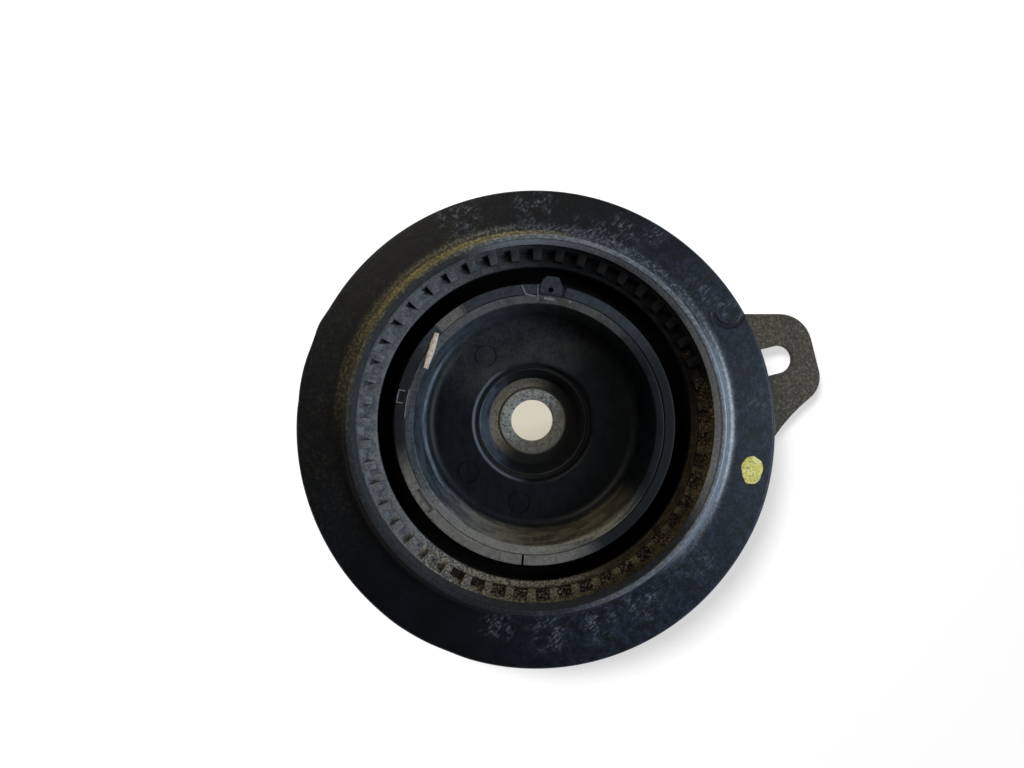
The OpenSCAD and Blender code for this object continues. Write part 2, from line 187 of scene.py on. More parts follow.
class Graph:
    """A node tree that is built node by node."""

    def __init__(self, tree: bpy.types.NodeTree) -> None:
        """Start from an empty tree."""
        self.tree = tree
        self.tree.nodes.clear()

    def make(self, kind: str, settings: Mapping[str, object], inputs: Mapping[Union[int, str], object],
             output: Union[int, str] = 0) -> Wire:
        """Add a node, with its settings first and then its sockets.

        Args:
            kind: the node's type.
            settings: attributes of the node.
            inputs: values or wires for the node's sockets, by name or place.
            output: the socket that is wanted.

        Returns:
            The wanted output as a wire, or the first input of a node that ends a tree.
        """
        node = self.tree.nodes.new(kind)
        for name, value in settings.items():
            setattr(node, name, value)
        for name, value in inputs.items():
            if isinstance(value, Wire):
                self.tree.links.new(value.socket, node.inputs[name])
            else:
                node.inputs[name].default_value = value
        outputs = node.outputs
        return Wire(self, outputs[output]) if len(outputs) else Wire(self, node.inputs[0])

    def parts(self, vector: Wire) -> list[Wire]:
        """The three coordinates of a vector."""
        split = self.make("ShaderNodeSeparateXYZ", {}, {0: vector})
        return [Wire(self, socket) for socket in split.socket.node.outputs]

    def step(self, value: Term, low: float, high: float) -> Wire:
        """Smooth step of a value from 0 at low to 1 at high."""
        settings = {"interpolation_type": "SMOOTHSTEP"}
        return self.make("ShaderNodeMapRange", settings, {0: value, 1: low, 2: high})

    def mix(self, share: Term, first: Union[Wire, Colour], second: Union[Wire, Colour]) -> Wire:
        """Blend of two colours, where share 1 is the second."""
        settings = {"data_type": "RGBA", "clamp_factor": True}
        return self.make("ShaderNodeMix", settings, {0: share, 6: first, 7: second}, 2)

    def layers(self, ground: Colour, *coats: Coat) -> Wire:
        """Colour of a ground with coats laid over it in order, each with the share that it covers."""
        colour = ground
        for share, coat in coats:
            colour = self.mix(share, colour, coat)
        return colour


class Shader(Graph):
    """Node tree of one material, with positions in millimetres in the part's frame."""

    def __init__(self, name: str) -> None:
        """Make the material and the wires that every finish reads."""
        self.material = bpy.data.materials.new(name)
        self.material.use_nodes = True
        super().__init__(self.material.node_tree)
        where = self.make("ShaderNodeTexCoord", {}, {}, "Object")
        self.point = self.vector("SCALE", {0: where, "Scale": 1 / MM})
        self.x, self.y, self.z = self.parts(self.point)
        self.flat = self.make("ShaderNodeCombineXYZ", {}, {0: self.x, 1: self.y})
        self.radius = self.vector("LENGTH", {0: self.flat}, 1)
        self.direction = self.vector("NORMALIZE", {0: self.flat})

    def vector(self, operation: str, inputs: Mapping[Union[int, str], object], output: int = 0) -> Wire:
        """Add one Vector Math node and return its result."""
        return self.make("ShaderNodeVectorMath", {"operation": operation}, inputs, output)

    def band(self, value: Wire, low: float, high: float, soft: float) -> Wire:
        """Mask that is 1 between two values and fades out over a width."""
        return self.step(value, low - soft, low) * (1 - self.step(value, high, high + soft))

    def sector(self, angle: float, half: float, soft: float) -> Wire:
        """Mask of the directions about an angle of the main view.

        Args:
            angle: angle of the sector's middle, in degrees.
            half: half of the sector's opening, in degrees.
            soft: width of the fade beyond it, in degrees.

        Returns:
            A wire that is 1 in the sector and 0 beyond the fade.
        """
        middle = on_circle(seen(angle), 1, 0)
        cosine = self.vector("DOT_PRODUCT", {0: self.direction, 1: middle}, 1)
        outer = math.cos(math.radians(min(half + soft, 180)))
        return self.step(cosine, outer, math.cos(math.radians(half)))

    def away(self, angle: float, radius: float) -> Wire:
        """Distance in the plane from a point at an angle of the main view and a radius."""
        return self.vector("DISTANCE", {0: self.flat, 1: on_circle(seen(angle), radius, 0)}, 1)

    def toward(self, angle: float) -> Wire:
        """Distance from the axis along an angle of the main view."""
        return self.vector("DOT_PRODUCT", {0: self.flat, 1: on_circle(seen(angle), 1, 0)}, 1)

    def specks(self, size: float, low: float, high: float, seed: float = 0) -> Wire:
        """Mask of uneven specks of a size, which grow as the two levels fall."""
        return self.step(self.noise(size, 2, 0.6, seed), low, high)

    def field(self, where: Wire, scale: float, detail: float, rough: float, seed: float) -> Wire:
        """Add one Noise node and return its value."""
        inputs = {"Vector": where, "W": seed, "Scale": scale, "Detail": detail, "Roughness": rough}
        return self.make("ShaderNodeTexNoise", {"noise_dimensions": "4D"}, inputs)

    def noise(self, size: float, detail: float, rough: float, seed: float = 0) -> Wire:
        """Cloudy noise with blotches of a size in millimetres."""
        return self.field(self.point, 1 / size, detail, rough, seed)

    def strokes(self, across: float, along: float, angle: float, seed: float) -> Wire:
        """Noise drawn out into strokes.

        Args:
            across: width of a stroke.
            along: length of a stroke.
            angle: direction of the strokes in the main view, in degrees.
            seed: place in the noise.

        Returns:
            A wire from 0 to 1.
        """
        rotation = Euler((0, 0, math.radians(-seen(angle))))
        inputs = {"Vector": self.point, "Rotation": rotation}
        turned = self.make("ShaderNodeMapping", {"vector_type": "POINT"}, inputs)
        drawn = self.vector("MULTIPLY", {0: turned, 1: (1 / along, 1 / across, 1 / along)})
        return self.field(drawn, 1.0, 3.0, 0.6, seed)

    def rings(self, width: float, reach: float, seed: float) -> Wire:
        """Noise in fine rings round the axis, of a width, that change over a share of a turn."""
        east, north = self.parts(self.direction)[:2]
        inputs = {0: east * reach, 1: north * reach, 2: self.radius / width}
        drawn = self.make("ShaderNodeCombineXYZ", {}, inputs)
        return self.field(drawn, 1.0, 3.0, 0.5, seed)

    def close(self, surface: "Surface") -> None:
        """Feed a surface to the Principled shader and the material's output."""
        relief = {"Height": surface.height, "Strength": surface.strength, "Distance": surface.relief * MM}
        bump = self.make("ShaderNodeBump", {}, relief)
        inputs = {"Base Color": surface.colour, "Roughness": surface.roughness, "Metallic": surface.metallic,
                  "Specular IOR Level": surface.specular, "Normal": bump, "Coat Weight": surface.gloss,
                  "Coat Roughness": COAT_ROUGHNESS}
        shaded = self.make("ShaderNodeBsdfPrincipled", {}, inputs)
        self.make("ShaderNodeOutputMaterial", {}, {"Surface": shaded})


@dataclass
class Surface:
    """What a finish hands to the shader."""

    colour: Wire
    roughness: Wire
    height: Wire
    relief: float
    strength: float = 1.0
    metallic: Term = 0.0
    specular: float = 0.5
    gloss: Term = 0.0


@dataclass(frozen=True)
class Finish:
    """Base of every finish."""

    name: str

    def paint(self, g: Shader) -> Surface:
        """Colour, roughness and relief of the finish."""
        raise NotImplementedError

    def material(self) -> bpy.types.Material:
        """Material of the finish, made once."""
        known = bpy.data.materials.get(self.name)
        if known:
            return known
        shader = Shader(self.name)
        shader.close(self.paint(shader))
        return shader.material


@dataclass(frozen=True)
class Rub:
    """A rubbed patch of the pad: its angle of the view, its radius, its size and its strength."""

    angle: float
    radius: float
    size: float
    share: float
    core: float = 0.2

    def mask(self, g: Shader) -> Wire:
        """Mask that fades out from the core of the patch, which is a share of its size."""
        away = g.away(self.angle, self.radius)
        return self.share * (1 - g.step(away, self.size * self.core, self.size))


@dataclass(frozen=True)
class PadRubber(Finish):
    """Worn black rubber of the spring pad, with scuffs, dust, a fine grain, painted highlights and a painted
    sheen.
    """

    black: Colour = rgb(3, 4, 6)
    soot: Colour = rgb(9, 12, 20)
    earth: Colour = rgb(38, 35, 27)
    chalk: Colour = rgb(116, 122, 132)
    slate: Colour = rgb(50, 61, 82)
    rime: Colour = rgb(134, 138, 144)
    slope_light_paint: Colour = rgb(180, 184, 190)
    highlight_tint: Colour = rgb(150, 162, 180)
    warm_highlight_tint: Colour = rgb(170, 158, 110)
    slope_r: float = 56.4
    crest_z: float = 38.0
    fillet_r: tuple[float, float] = (57.0, 60.5)
    highlight_r: tuple[float, float] = (57.4, 59.0)
    warm_highlight_r: tuple[float, float] = (57.7, 59.0)
    scar_at: tuple[float, float] = (30.4, 68.8)
    scar_r: tuple[float, float] = (4.3, 5.0)
    scar_top: tuple[float, float] = (33.4, 35.0)
    rubs: tuple[Rub, ...] = (
        Rub(66, 63, 9, 0.8), Rub(76, 61, 7, 0.6), Rub(58, 69, 5, 0.7), Rub(90, 67, 9, 0.8),
        Rub(38, 64, 9, 0.4), Rub(31, 69, 4.5, 0.8), Rub(6, 68, 6, 0.4), Rub(260, 62, 8, 0.5),
        Rub(274, 63, 9, 0.8), Rub(288, 63, 9, 0.8), Rub(302, 63, 9, 0.6), Rub(320, 64, 9, 0.5),
        Rub(110, 68, 10, 0.6))

    def scuffs(self, g: Shader) -> Wire:
        """Pale smears where the rubber has been rubbed."""
        hatch = 0.5 * g.strokes(0.7, 2.6, 40, 3.0) + 0.5 * g.noise(0.9, 4, 0.7, 7.0)
        cloud = g.noise(3.5, 5, 0.65, 7.0)
        patchy = g.step(hatch, 0.47, 0.6) * g.step(cloud, 0.42, 0.6)
        return patchy * sum(rub.mask(g) for rub in self.rubs)

    def scar(self, g: Shader) -> Wire:
        """Crescent crease pressed into the flange at the upper right, its dark colour a painted shade in the
        crease.
        """
        below = 1 - g.step(g.toward(90), *self.scar_top)
        return g.band(g.away(*self.scar_at), *self.scar_r, 0.6) * below

    def bead(self, g: Shader, fine: Wire) -> list[Coat]:
        """Pale dust on the bead's crest, thick at the right and at the top, and painted light on its inner
        slope, strong at the upper right.
        """
        crest = g.step(g.z, self.crest_z, self.crest_z + 0.6)
        slope = (1 - g.step(g.radius, self.slope_r - 0.3, self.slope_r)) * (1 - crest)
        film = 0.6 + 0.4 * fine
        thick = 0.06 + 0.44 * g.sector(18, 72, 32)
        # Painted light on the inner slope, which faces away from the lamps, strong at the upper right.
        slope_light_painted = 0.08 + 0.87 * g.sector(40, 50, 26)
        return [(crest * thick * film, self.rime), (slope * slope_light_painted * film, self.slope_light_paint)]

    def paint(self, g: Shader) -> Surface:
        """Colour, roughness and relief of the pad."""
        grain = g.noise(0.9, 2, 0.6)
        mottle = g.noise(2.2, 4, 0.7, 5.0)
        cloud = g.noise(9.0, 4, 0.65, 2.0)
        spots = g.step(mottle, 0.42, 0.6)
        fine = g.step(grain, 0.46, 0.6)
        earthy = g.sector(146, 42, 38)
        # The right side of the flange, where slate blotches and chalk specks are a painted bluish sheen.
        cool_sheen = g.sector(345, 48, 46)
        rubbed = self.scuffs(g)
        scar = self.scar(g)
        fillet = g.band(g.radius, *self.fillet_r, 2.0)
        # Painted highlight on the fillet at the right.
        fillet_highlight = g.sector(350, 20, 24) * g.band(g.radius, *self.highlight_r, 1.2)
        # Painted warm highlight of the lamp on the bead's outer slope at the upper left, speckled.
        warm_highlight = g.sector(116, 12, 30) * g.band(g.radius, *self.warm_highlight_r, 0.9) * (0.4 + 0.6 * fine)
        specks = g.specks(0.45, 0.7, 0.74, 11.0) * cool_sheen
        colour = g.layers(
            self.black,
            (g.step(cloud, 0.36, 0.64) * (0.3 + 0.7 * fine), self.soot),
            (earthy * (0.05 + 0.55 * spots * fine), self.earth),
            # Painted bluish sheen on the right side, in slate blotches.
            (cool_sheen * (0.1 + 0.35 * spots) * (0.5 + 0.5 * fine), self.slate),
            (rubbed * 0.8, self.chalk),
            # Chalk dust on the fillet at the right and top, partly a painted highlight there.
            (fillet * g.sector(35, 62, 30) * (0.05 + 0.3 * fine), self.chalk),
            # Painted highlight on the right fillet, in a pale blue tint.
            (fillet_highlight * 0.3, self.highlight_tint),
            *self.bead(g, fine),
            # Painted warm highlight at the upper left.
            (warm_highlight * 0.65, self.warm_highlight_tint),
            # More painted warm highlight, on the fillet at the upper left.
            (fillet * g.sector(138, 24, 24) * (0.06 + 0.14 * fine), self.warm_highlight_tint),
            # Chalk specks of the painted sheen on the right side.
            (specks * 0.5, self.chalk),
            # Painted shade in the scar's crease.
            (scar * 0.9, self.black))
        dulled = g.sector(160, 62, 30) * g.step(g.z, self.crest_z - 1.5, self.crest_z)
        roughness = 0.42 + 0.06 * cloud + 0.15 * rubbed + 0.3 * dulled
        worn = g.sector(356, 24, 26) * fillet * (0.75 + 0.25 * spots)
        height = 0.6 * grain + 0.4 * mottle - 3.0 * scar
        return Surface(colour, roughness, height, 0.1, 0.7, specular=0.2, gloss=worn)


@dataclass(frozen=True)
class SeatPlastic(Finish):
    """Moulded plastic of the spring seat: grey dust on one side, beige and brown soil on the other, painted
    shadow in the gaps' corners and painted shade below the lip.
    """

    base: Colour = rgb(4, 4, 5)
    dust: Colour = rgb(130, 131, 133)
    beige: Colour = rgb(130, 121, 106)
    soil: Colour = rgb(80, 72, 47)
    lip_z: float = 30.0
    count: int = 48
    pitch: float = 6.9
    tooth_in_r: float = 50.7
    hollow_r: float = 52.4
    hollow_z: float = 32.4

    def painted_notch_shadow(self, g: Shader) -> Wire:
        """Painted shadow in the corner of each gap, cast by the tooth on the side that is nearer to the light
        at the right.
        """
        turn = g.make("ShaderNodeMath", {"operation": "ARCTAN2"}, {0: g.y, 1: g.x})
        turns = turn * (self.count / math.tau) + self.count
        place = g.make("ShaderNodeMath", {"operation": "FRACT"}, {0: turns}) - 0.5
        upper = g.sector(130, 44, 3)
        across = place * self.pitch * (1 - 2 * upper)
        low = 1 - g.step(g.z, self.hollow_z, self.hollow_z + 0.3)
        inside = g.step(g.radius, self.tooth_in_r, self.tooth_in_r + 0.5)
        shadow_depth = 0.4 + 0.6 * g.sector(112, 36, 30)
        return shadow_depth * low * inside * g.step(across + 0.7 * (g.radius - self.hollow_r), 1.0, 1.6)

    def paint(self, g: Shader) -> Surface:
        """Colour, roughness and relief of the seat."""
        grain = g.noise(0.7, 3, 0.65)
        cloud = g.noise(2.4, 4, 0.6, 1.0)
        patchy = 0.4 * cloud + 0.6 * grain
        film = g.step(patchy, 0.38, 0.62)
        gritty = g.step(grain, 0.42, 0.6)
        dusty = g.sector(190, 48, 66)
        sandy = g.sector(258, 16, 24)
        soiled = g.sector(308, 42, 28)
        heaped = 0.5 + 0.5 * g.step(g.radius, self.tooth_in_r - 0.6, self.tooth_in_r)
        shade = 1 - g.step(g.z, self.lip_z - 1.4, self.lip_z - 0.4)
        colour = g.layers(
            self.base,
            ((0.01 + 0.66 * dusty) * (0.45 + 0.55 * film), self.dust),
            (sandy * (0.05 + 0.95 * gritty), self.beige),
            (sandy * (1 - gritty) * 0.6, self.base),
            (soiled * heaped * (0.1 + 0.9 * film), self.soil),
            # Painted shadow in the gaps' corners, in the dark base colour.
            (self.painted_notch_shadow(g) * 0.9, self.base),
            (shade, DEEP_SHADE))
        return Surface(colour, 0.6 + 0.2 * grain + 0.3 * shade, patchy, 0.2, 0.8, specular=0.12)


@dataclass(frozen=True)
class CupPlastic(Finish):
    """Blue-black moulded plastic of the cup, glossy on the floor and dusty on wall and rim, with painted
    light and highlights on the left of the wall and the recess's edge.
    """

    base: Colour = rgb(3, 6, 8)
    cloud: Colour = rgb(12, 17, 22)
    painted_wall_light: Colour = rgb(60, 66, 74)
    glint: Colour = rgb(122, 130, 142)
    dust: Colour = rgb(118, 116, 112)
    clay: Colour = rgb(106, 100, 82)
    rim_z: float = 32.2
    floor_z: float = 17.6
    glint_z: float = 21.0
    recess_r: float = 19.0
    deep_r: float = 40.5

    def walls(self, g: Shader, streaks: Wire) -> list[Coat]:
        """Painted light on the left of the wall with a painted highlight band, grey dust low at the lower
        left and dried clay on its bottom, all in streaks round the axis.
        """
        wall = g.step(g.z, self.floor_z, self.floor_z + 3)
        film = 0.3 + 0.7 * streaks
        shine = g.band(g.z, self.glint_z - 0.6, self.glint_z + 1.2, 1.5) * g.sector(180, 22, 24)
        # Painted light on the left of the wall, and a painted highlight band across it.
        return [(wall * g.sector(178, 58, 34) * film, self.painted_wall_light),
                (wall * g.sector(243, 8, 22) * film * 0.7, self.dust),
                (shine * film * 0.7, self.glint),
                (wall * g.sector(278, 20, 34) * film * 0.85, self.clay)]

    def paint(self, g: Shader) -> Surface:
        """Colour, roughness and relief of the cup."""
        grain = g.noise(1.0, 2, 0.6)
        cloud = g.noise(4.0, 4, 0.65, 4.0)
        patchy = 0.5 * cloud + 0.5 * grain
        film = g.step(patchy, 0.34, 0.66)
        streaks = g.step(0.6 * g.rings(0.6, 4.0, 3.0) + 0.4 * grain, 0.4, 0.6)
        brushed = g.strokes(0.8, 6.0, 100, 2.0)
        # Dust on the floor at the top, partly a painted reflection there.
        dust_and_reflection = g.sector(105, 26, 40) * (0.3 + 0.7 * film)
        bare = g.sector(345, 42, 34)
        rim = g.step(g.z, self.rim_z, self.rim_z + 0.5) * (1 - 0.97 * bare)
        settled = 0.22 + 0.34 * g.sector(256, 34, 24) - 0.12 * g.sector(176, 24, 10)
        # Painted highlight on the recess's edge at the left.
        turn = g.band(g.radius, self.recess_r + 0.2, self.recess_r + 0.7, 0.3) * g.sector(190, 50, 30)
        outside = g.step(g.radius, self.deep_r, self.deep_r + 0.2)
        colour = g.layers(
            self.base,
            (g.step(0.5 * cloud + 0.5 * brushed, 0.38, 0.62), self.cloud),
            # Dust and painted reflection on the top of the floor.
            (dust_and_reflection * 0.15, self.dust),
            *self.walls(g, streaks),
            (rim * settled * (0.4 + film), self.dust),
            # Painted highlight on the recess's edge.
            (turn * 0.35, self.glint),
            (outside, DEEP_SHADE))
        roughness = 0.4 + 0.1 * brushed + 0.2 * rim + 0.3 * outside
        return Surface(colour, roughness, patchy, 0.06, 0.6, specular=0.14)


@dataclass(frozen=True)
class RingPlastic(Finish):
    """Moulded plastic of the clip ring, with dust that lies thick at the bottom of the view."""

    base: Colour = rgb(6, 7, 8)
    slate: Colour = rgb(46, 52, 60)
    dust: Colour = rgb(120, 115, 108)
    top_z: float = 32.0

    def paint(self, g: Shader) -> Surface:
        """Colour, roughness and relief of the clip ring."""
        grain = g.noise(1.0, 2, 0.6, 2.0)
        cloud = g.noise(2.0, 4, 0.6, 6.0)
        patchy = 0.5 * cloud + 0.5 * grain
        film = g.step(patchy, 0.34, 0.66)
        thick = g.sector(244, 36, 22)
        patch = g.sector(128, 6, 1.5)
        shade = g.sector(176, 22, 12)
        clean = g.sector(345, 36, 26)
        bare = (1 - 0.75 * shade) * (1 - 0.95 * clean)
        shaded = 1 - g.step(g.z, self.top_z - 1.2, self.top_z)
        colour = g.layers(
            self.base,
            (bare * (0.4 + 0.6 * film), self.slate),
            ((0.8 * thick + 0.6 * patch) * (0.5 + 0.5 * film), self.dust),
            (shaded, DEEP_SHADE))
        return Surface(colour, 0.48 + 0.2 * grain, patchy, 0.12, 0.7, specular=0.18)


@dataclass(frozen=True)
class PlateSteel(Finish):
    """Coated pressed steel, dulled to a grainy grey brown."""

    coat: Colour = rgb(64, 57, 47)
    pale: Colour = rgb(110, 100, 86)
    dark: Colour = rgb(28, 24, 19)
    hub_side_dark: Colour = rgb(7, 7, 8)
    near_hub_r: float = 32.0

    def paint(self, g: Shader) -> Surface:
        """Colour, roughness and relief of the plates, which turn near black towards the hub."""
        grain = g.noise(0.8, 3, 0.75, 1.0)
        cloud = g.noise(7.0, 4, 0.6, 3.0)
        # Near black towards the hub.
        near_hub = 1 - g.step(g.radius, self.near_hub_r - 4, self.near_hub_r)
        colour = g.layers(
            self.coat,
            (g.step(grain, 0.48, 0.7), self.pale),
            ((1 - g.step(grain, 0.3, 0.5)) * 0.8, self.dark),
            (g.step(cloud, 0.5, 0.75) * 0.5, self.dark),
            (near_hub, self.hub_side_dark))
        return Surface(colour, 0.62 + 0.2 * grain, grain, 0.14, 0.8, metallic=0.2, specular=0.35)


@dataclass(frozen=True)
class HubSteel(Finish):
    """Bare hub steel, grey and pitted in the middle, rusty towards the rubber, grimy on one side, and painted
    shade on its outer ring at the lower right.
    """

    bright: Colour = rgb(150, 150, 147)
    grey: Colour = rgb(88, 91, 92)
    rust: Colour = rgb(98, 86, 69)
    bruise: Colour = rgb(32, 29, 26)
    grime: Colour = rgb(84, 79, 66)
    shadow: Colour = rgb(4, 4, 4)
    clean_to: float = 10.2

    def paint(self, g: Shader) -> Surface:
        """Colour, roughness and relief of the hub."""
        pits = g.noise(0.7, 3, 0.7, 8.0)
        cloud = g.noise(2.5, 4, 0.6, 9.0)
        turned = g.rings(0.35, 1.5, 1.0)
        rusty = g.step(g.radius + 2.5 * cloud, self.clean_to + 1.2, self.clean_to + 2.4)
        seam = g.band(g.radius, self.clean_to + 0.9, self.clean_to + 1.3, 0.3)
        grimy = g.sector(310, 62, 50) * (0.6 + 0.4 * g.step(cloud, 0.35, 0.65))
        # Painted shade on the outer ring towards the lower right.
        painted_shade = g.step(g.radius, self.clean_to + 0.6, self.clean_to + 1.6) * g.sector(330, 82, 62)
        colour = g.layers(
            self.grey,
            (g.step(pits, 0.35, 0.65), self.bright),
            (rusty * 0.8, self.rust),
            ((1 - g.step(pits, 0.3, 0.5)) * 0.7, self.bruise),
            (seam * 0.8, self.bruise),
            (grimy * 0.9, self.grime),
            (painted_shade, self.shadow))
        roughness = 0.5 + 0.25 * rusty + 0.15 * pits
        return Surface(colour, roughness, 0.6 * pits + 0.4 * turned, 0.14, 0.8, 0.45 - 0.35 * rusty, 0.3)


@dataclass(frozen=True)
class CoreRubber(Finish):
    """Black bonded rubber, painted bluish where the light falls on its left."""

    black: Colour = rgb(6, 7, 8)
    painted_blue_light: Colour = rgb(60, 67, 77)

    def paint(self, g: Shader) -> Surface:
        """Colour, roughness and relief of the rubber."""
        grain = g.noise(0.5, 3, 0.6, 4.0)
        cloud = g.noise(4.0, 4, 0.6, 5.0)
        lit = g.sector(178, 34, 34)
        # Painted bluish light on the left, in clouds.
        colour = g.mix((0.06 + 0.94 * lit) * g.step(cloud, 0.2, 0.7), self.black, self.painted_blue_light)
        return Surface(colour, 0.42 + 0.2 * cloud, grain, 0.06, 0.6, specular=0.35)


@dataclass(frozen=True)
class BearingSteel(Finish):
    """Ground bearing steel with a film of grease."""

    steel: Colour = rgb(168, 170, 172)
    grease: Colour = rgb(112, 102, 80)

    def paint(self, g: Shader) -> Surface:
        """Colour, roughness and relief of races and balls."""
        film = g.noise(3.0, 3, 0.6, 2.0)
        fine = g.noise(0.4, 3, 0.6, 3.0)
        smeared = g.step(film, 0.5, 0.7)
        colour = g.mix(smeared * 0.4, self.steel, self.grease)
        return Surface(colour, 0.16 + 0.25 * smeared, fine, 0.01, 0.3, 1 - 0.4 * smeared)


@dataclass(frozen=True)
class CagePlastic(Finish):
    """Natural nylon of the ball cage, stained by grease."""

    nylon: Colour = rgb(206, 198, 178)
    stain: Colour = rgb(140, 122, 90)

    def paint(self, g: Shader) -> Surface:
        """Colour, roughness and relief of the cage."""
        film = g.noise(3.0, 4, 0.6, 6.0)
        grain = g.noise(0.5, 3, 0.6, 7.0)
        colour = g.mix(g.step(film, 0.4, 0.75) * 0.8, self.nylon, self.stain)
        return Surface(colour, 0.4 + 0.2 * grain, grain, 0.05, 0.5)


@dataclass(frozen=True)
class YellowPaint(Finish):
    """Dab of yellow marking paint with grains worn through it."""

    yellow: Colour = rgb(204, 192, 92)
    pale: Colour = rgb(222, 216, 140)
    worn: Colour = rgb(92, 88, 48)

    def paint(self, g: Shader) -> Surface:
        """Colour, roughness and relief of the dab."""
        grain = g.noise(0.6, 4, 0.75, 2.0)
        cloud = g.noise(2.5, 3, 0.6, 3.0)
        worn = g.step(grain, 0.48, 0.4) * 0.85
        colour = g.layers(self.yellow, (g.step(cloud, 0.4, 0.7), self.pale), (worn, self.worn))
        return Surface(colour, 0.6 + 0.2 * grain, grain, 0.12, 0.8)


@dataclass(frozen=True)
class PaleChip(Finish):
    """Beige chip that is caught on the cup's rim."""

    beige: Colour = rgb(196, 182, 168)
    shade: Colour = rgb(128, 112, 100)

    def paint(self, g: Shader) -> Surface:
        """Colour, roughness and relief of the chip."""
        grain = g.noise(0.7, 4, 0.7, 5.0)
        colour = g.mix(g.step(grain, 0.55, 0.35) * 0.8, self.beige, self.shade)
        return Surface(colour, 0.65 + 0.2 * grain, grain, 0.1, 0.7)


@dataclass(frozen=True)
class Soil(Finish):
    """Dry brown road dirt with pale grains."""

    brown: Colour = rgb(36, 28, 18)
    dark: Colour = rgb(10, 8, 6)
    sand: Colour = rgb(122, 106, 80)

    def paint(self, g: Shader) -> Surface:
        """Colour, roughness and relief of the dirt."""
        grain = g.noise(0.8, 4, 0.75, 1.0)
        cloud = g.noise(3.0, 3, 0.6, 2.0)
        sandy = g.step(grain, 0.56, 0.7) * 0.8
        colour = g.layers(self.dark, (g.step(cloud, 0.35, 0.7), self.brown), (sandy, self.sand))
        return Surface(colour, 0.8 + 0.15 * grain, grain, 0.2, 0.9, specular=0.2)


@dataclass(frozen=True)
class Corner:
    """A corner of a turned section: distance from the axis, height and rounding."""

    r: float
    z: float
    soft: float = 0.0

    def place(self) -> Vector:
        """The corner as a plane vector."""
        return Vector((self.r, self.z))


def rounded(corners: Sequence[Corner], steps: int = 5, closed: bool = True) -> list[Vector]:
    """Points of a section with its soft corners drawn as arcs.

    Args:
        corners: the section's corners in order.
        steps: pieces of each arc.
        closed: the last corner joins the first.

    Returns:
        Plane points, distance from the axis and height.
    """
    points: list[Vector] = []
    count = len(corners)
    for index, corner in enumerate(corners):
        tip = corner.place()
        if corner.soft <= 0 or (not closed and index in (0, count - 1)):
            points.append(tip)
            continue
        back = (corners[index - 1].place() - tip).normalized()
        ahead = (corners[(index + 1) % count].place() - tip).normalized()
        half = back.angle(ahead) / 2
        middle = tip + (back + ahead).normalized() * (corner.soft / math.sin(half))
        start = tip + back * (corner.soft / math.tan(half)) - middle
        turn = math.pi - 2 * half
        if back.x * ahead.y - back.y * ahead.x > 0:
            turn = -turn
        for step in range(steps + 1):
            spin = Matrix.Rotation(turn * step / steps, 2)
            points.append(middle + spin @ start)
    return points


class Shell:
    """A mesh in the making, in millimetres in the part's frame."""

    def __init__(self) -> None:
        """Start with no faces."""
        self.bm = bmesh.new()

    def sweep(self, rows: Sequence[Sequence[Vector]], ring: bool = False, closed: bool = True,
              caps: bool = True) -> "Shell":
        """Skin a row of sections with quads.

        Args:
            rows: sections with equally many points.
            ring: the last section joins the first.
            closed: each section's last point joins its first.
            caps: closes the two ends of a run of closed sections.

        Returns:
            The shell itself.
        """
        verts = [[self.bm.verts.new(point) for point in row] for row in rows]
        count = len(verts)
        width = len(verts[0])
        for i in range(count if ring else count - 1):
            here = verts[i]
            there = verts[(i + 1) % count]
            for j in range(width if closed else width - 1):
                k = (j + 1) % width
                self.bm.faces.new((here[j], here[k], there[k], there[j]))
        if closed and caps and not ring:
            self.bm.faces.new(verts[0])
            self.bm.faces.new(list(reversed(verts[-1])))
        return self

    def spin(self, section: Sequence[Vector], count: int) -> "Shell":
        """Skin a closed section turned right round the axis."""
        turns = [360 * i / count for i in range(count)]
        return self.sweep([[on_circle(turn, p.x, p.y) for p in section] for turn in turns], ring=True)

    def prism(self, outline: Sequence[Vector], base: float, top: float, bevel: float = 0.0) -> "Shell":
        """Closed prism over a plane outline, with its upper edge drawn in by a bevel."""
        middle = sum(outline, Vector((0.0, 0.0))) / len(outline)
        levels = [(outline, base), (outline, top - bevel)]
        if bevel > 0:
            levels.append(([p + (middle - p).normalized() * bevel for p in outline], top))
        return self.sweep([[Vector((p.x, p.y, z)) for p in points] for points, z in levels])

    def object(self, name: str, outward: bool = True) -> Thing:
        """Merge doubles and finish the mesh, in metres, as an object at the origin.

        Args:
            name: the object's name.
            outward: turns the faces outwards.

        Returns:
            The new object, linked to the scene.
        """
        bmesh.ops.remove_doubles(self.bm, verts=self.bm.verts, dist=MERGE_GAP)
        if outward:
            bmesh.ops.recalc_face_normals(self.bm, faces=self.bm.faces)
        bmesh.ops.scale(self.bm, vec=(MM, MM, MM), verts=self.bm.verts)
        mesh = bpy.data.meshes.new(name)
        self.bm.to_mesh(mesh)
        self.bm.free()
        made = bpy.data.objects.new(name, mesh)
        bpy.context.scene.collection.objects.link(made)
        return made

    def piece(self, name: str, finish: Finish, angle: float = SMOOTH_TO) -> Thing:
        """Finish the mesh as an object that is shaded smoothly and dressed."""
        return dress(smooth(self.object(name), angle), finish)


def evaluated(source: Thing) -> Thing:
    """Turn an object's modifiers into plain mesh and remove them."""
    graph = bpy.context.evaluated_depsgraph_get()
    mesh = bpy.data.meshes.new_from_object(source.evaluated_get(graph))
    source.modifiers.clear()
    source.data = mesh
    return source


def combine(target: Thing, tool: Thing, operation: str) -> Thing:
    """Join a tool's mesh to a target, or cut it away, and delete the tool."""
    modifier = target.modifiers.new(operation, "BOOLEAN")
    modifier.operation = operation
    modifier.solver = "EXACT"
    modifier.object = tool
    evaluated(target)
    bpy.data.objects.remove(tool)
    return target


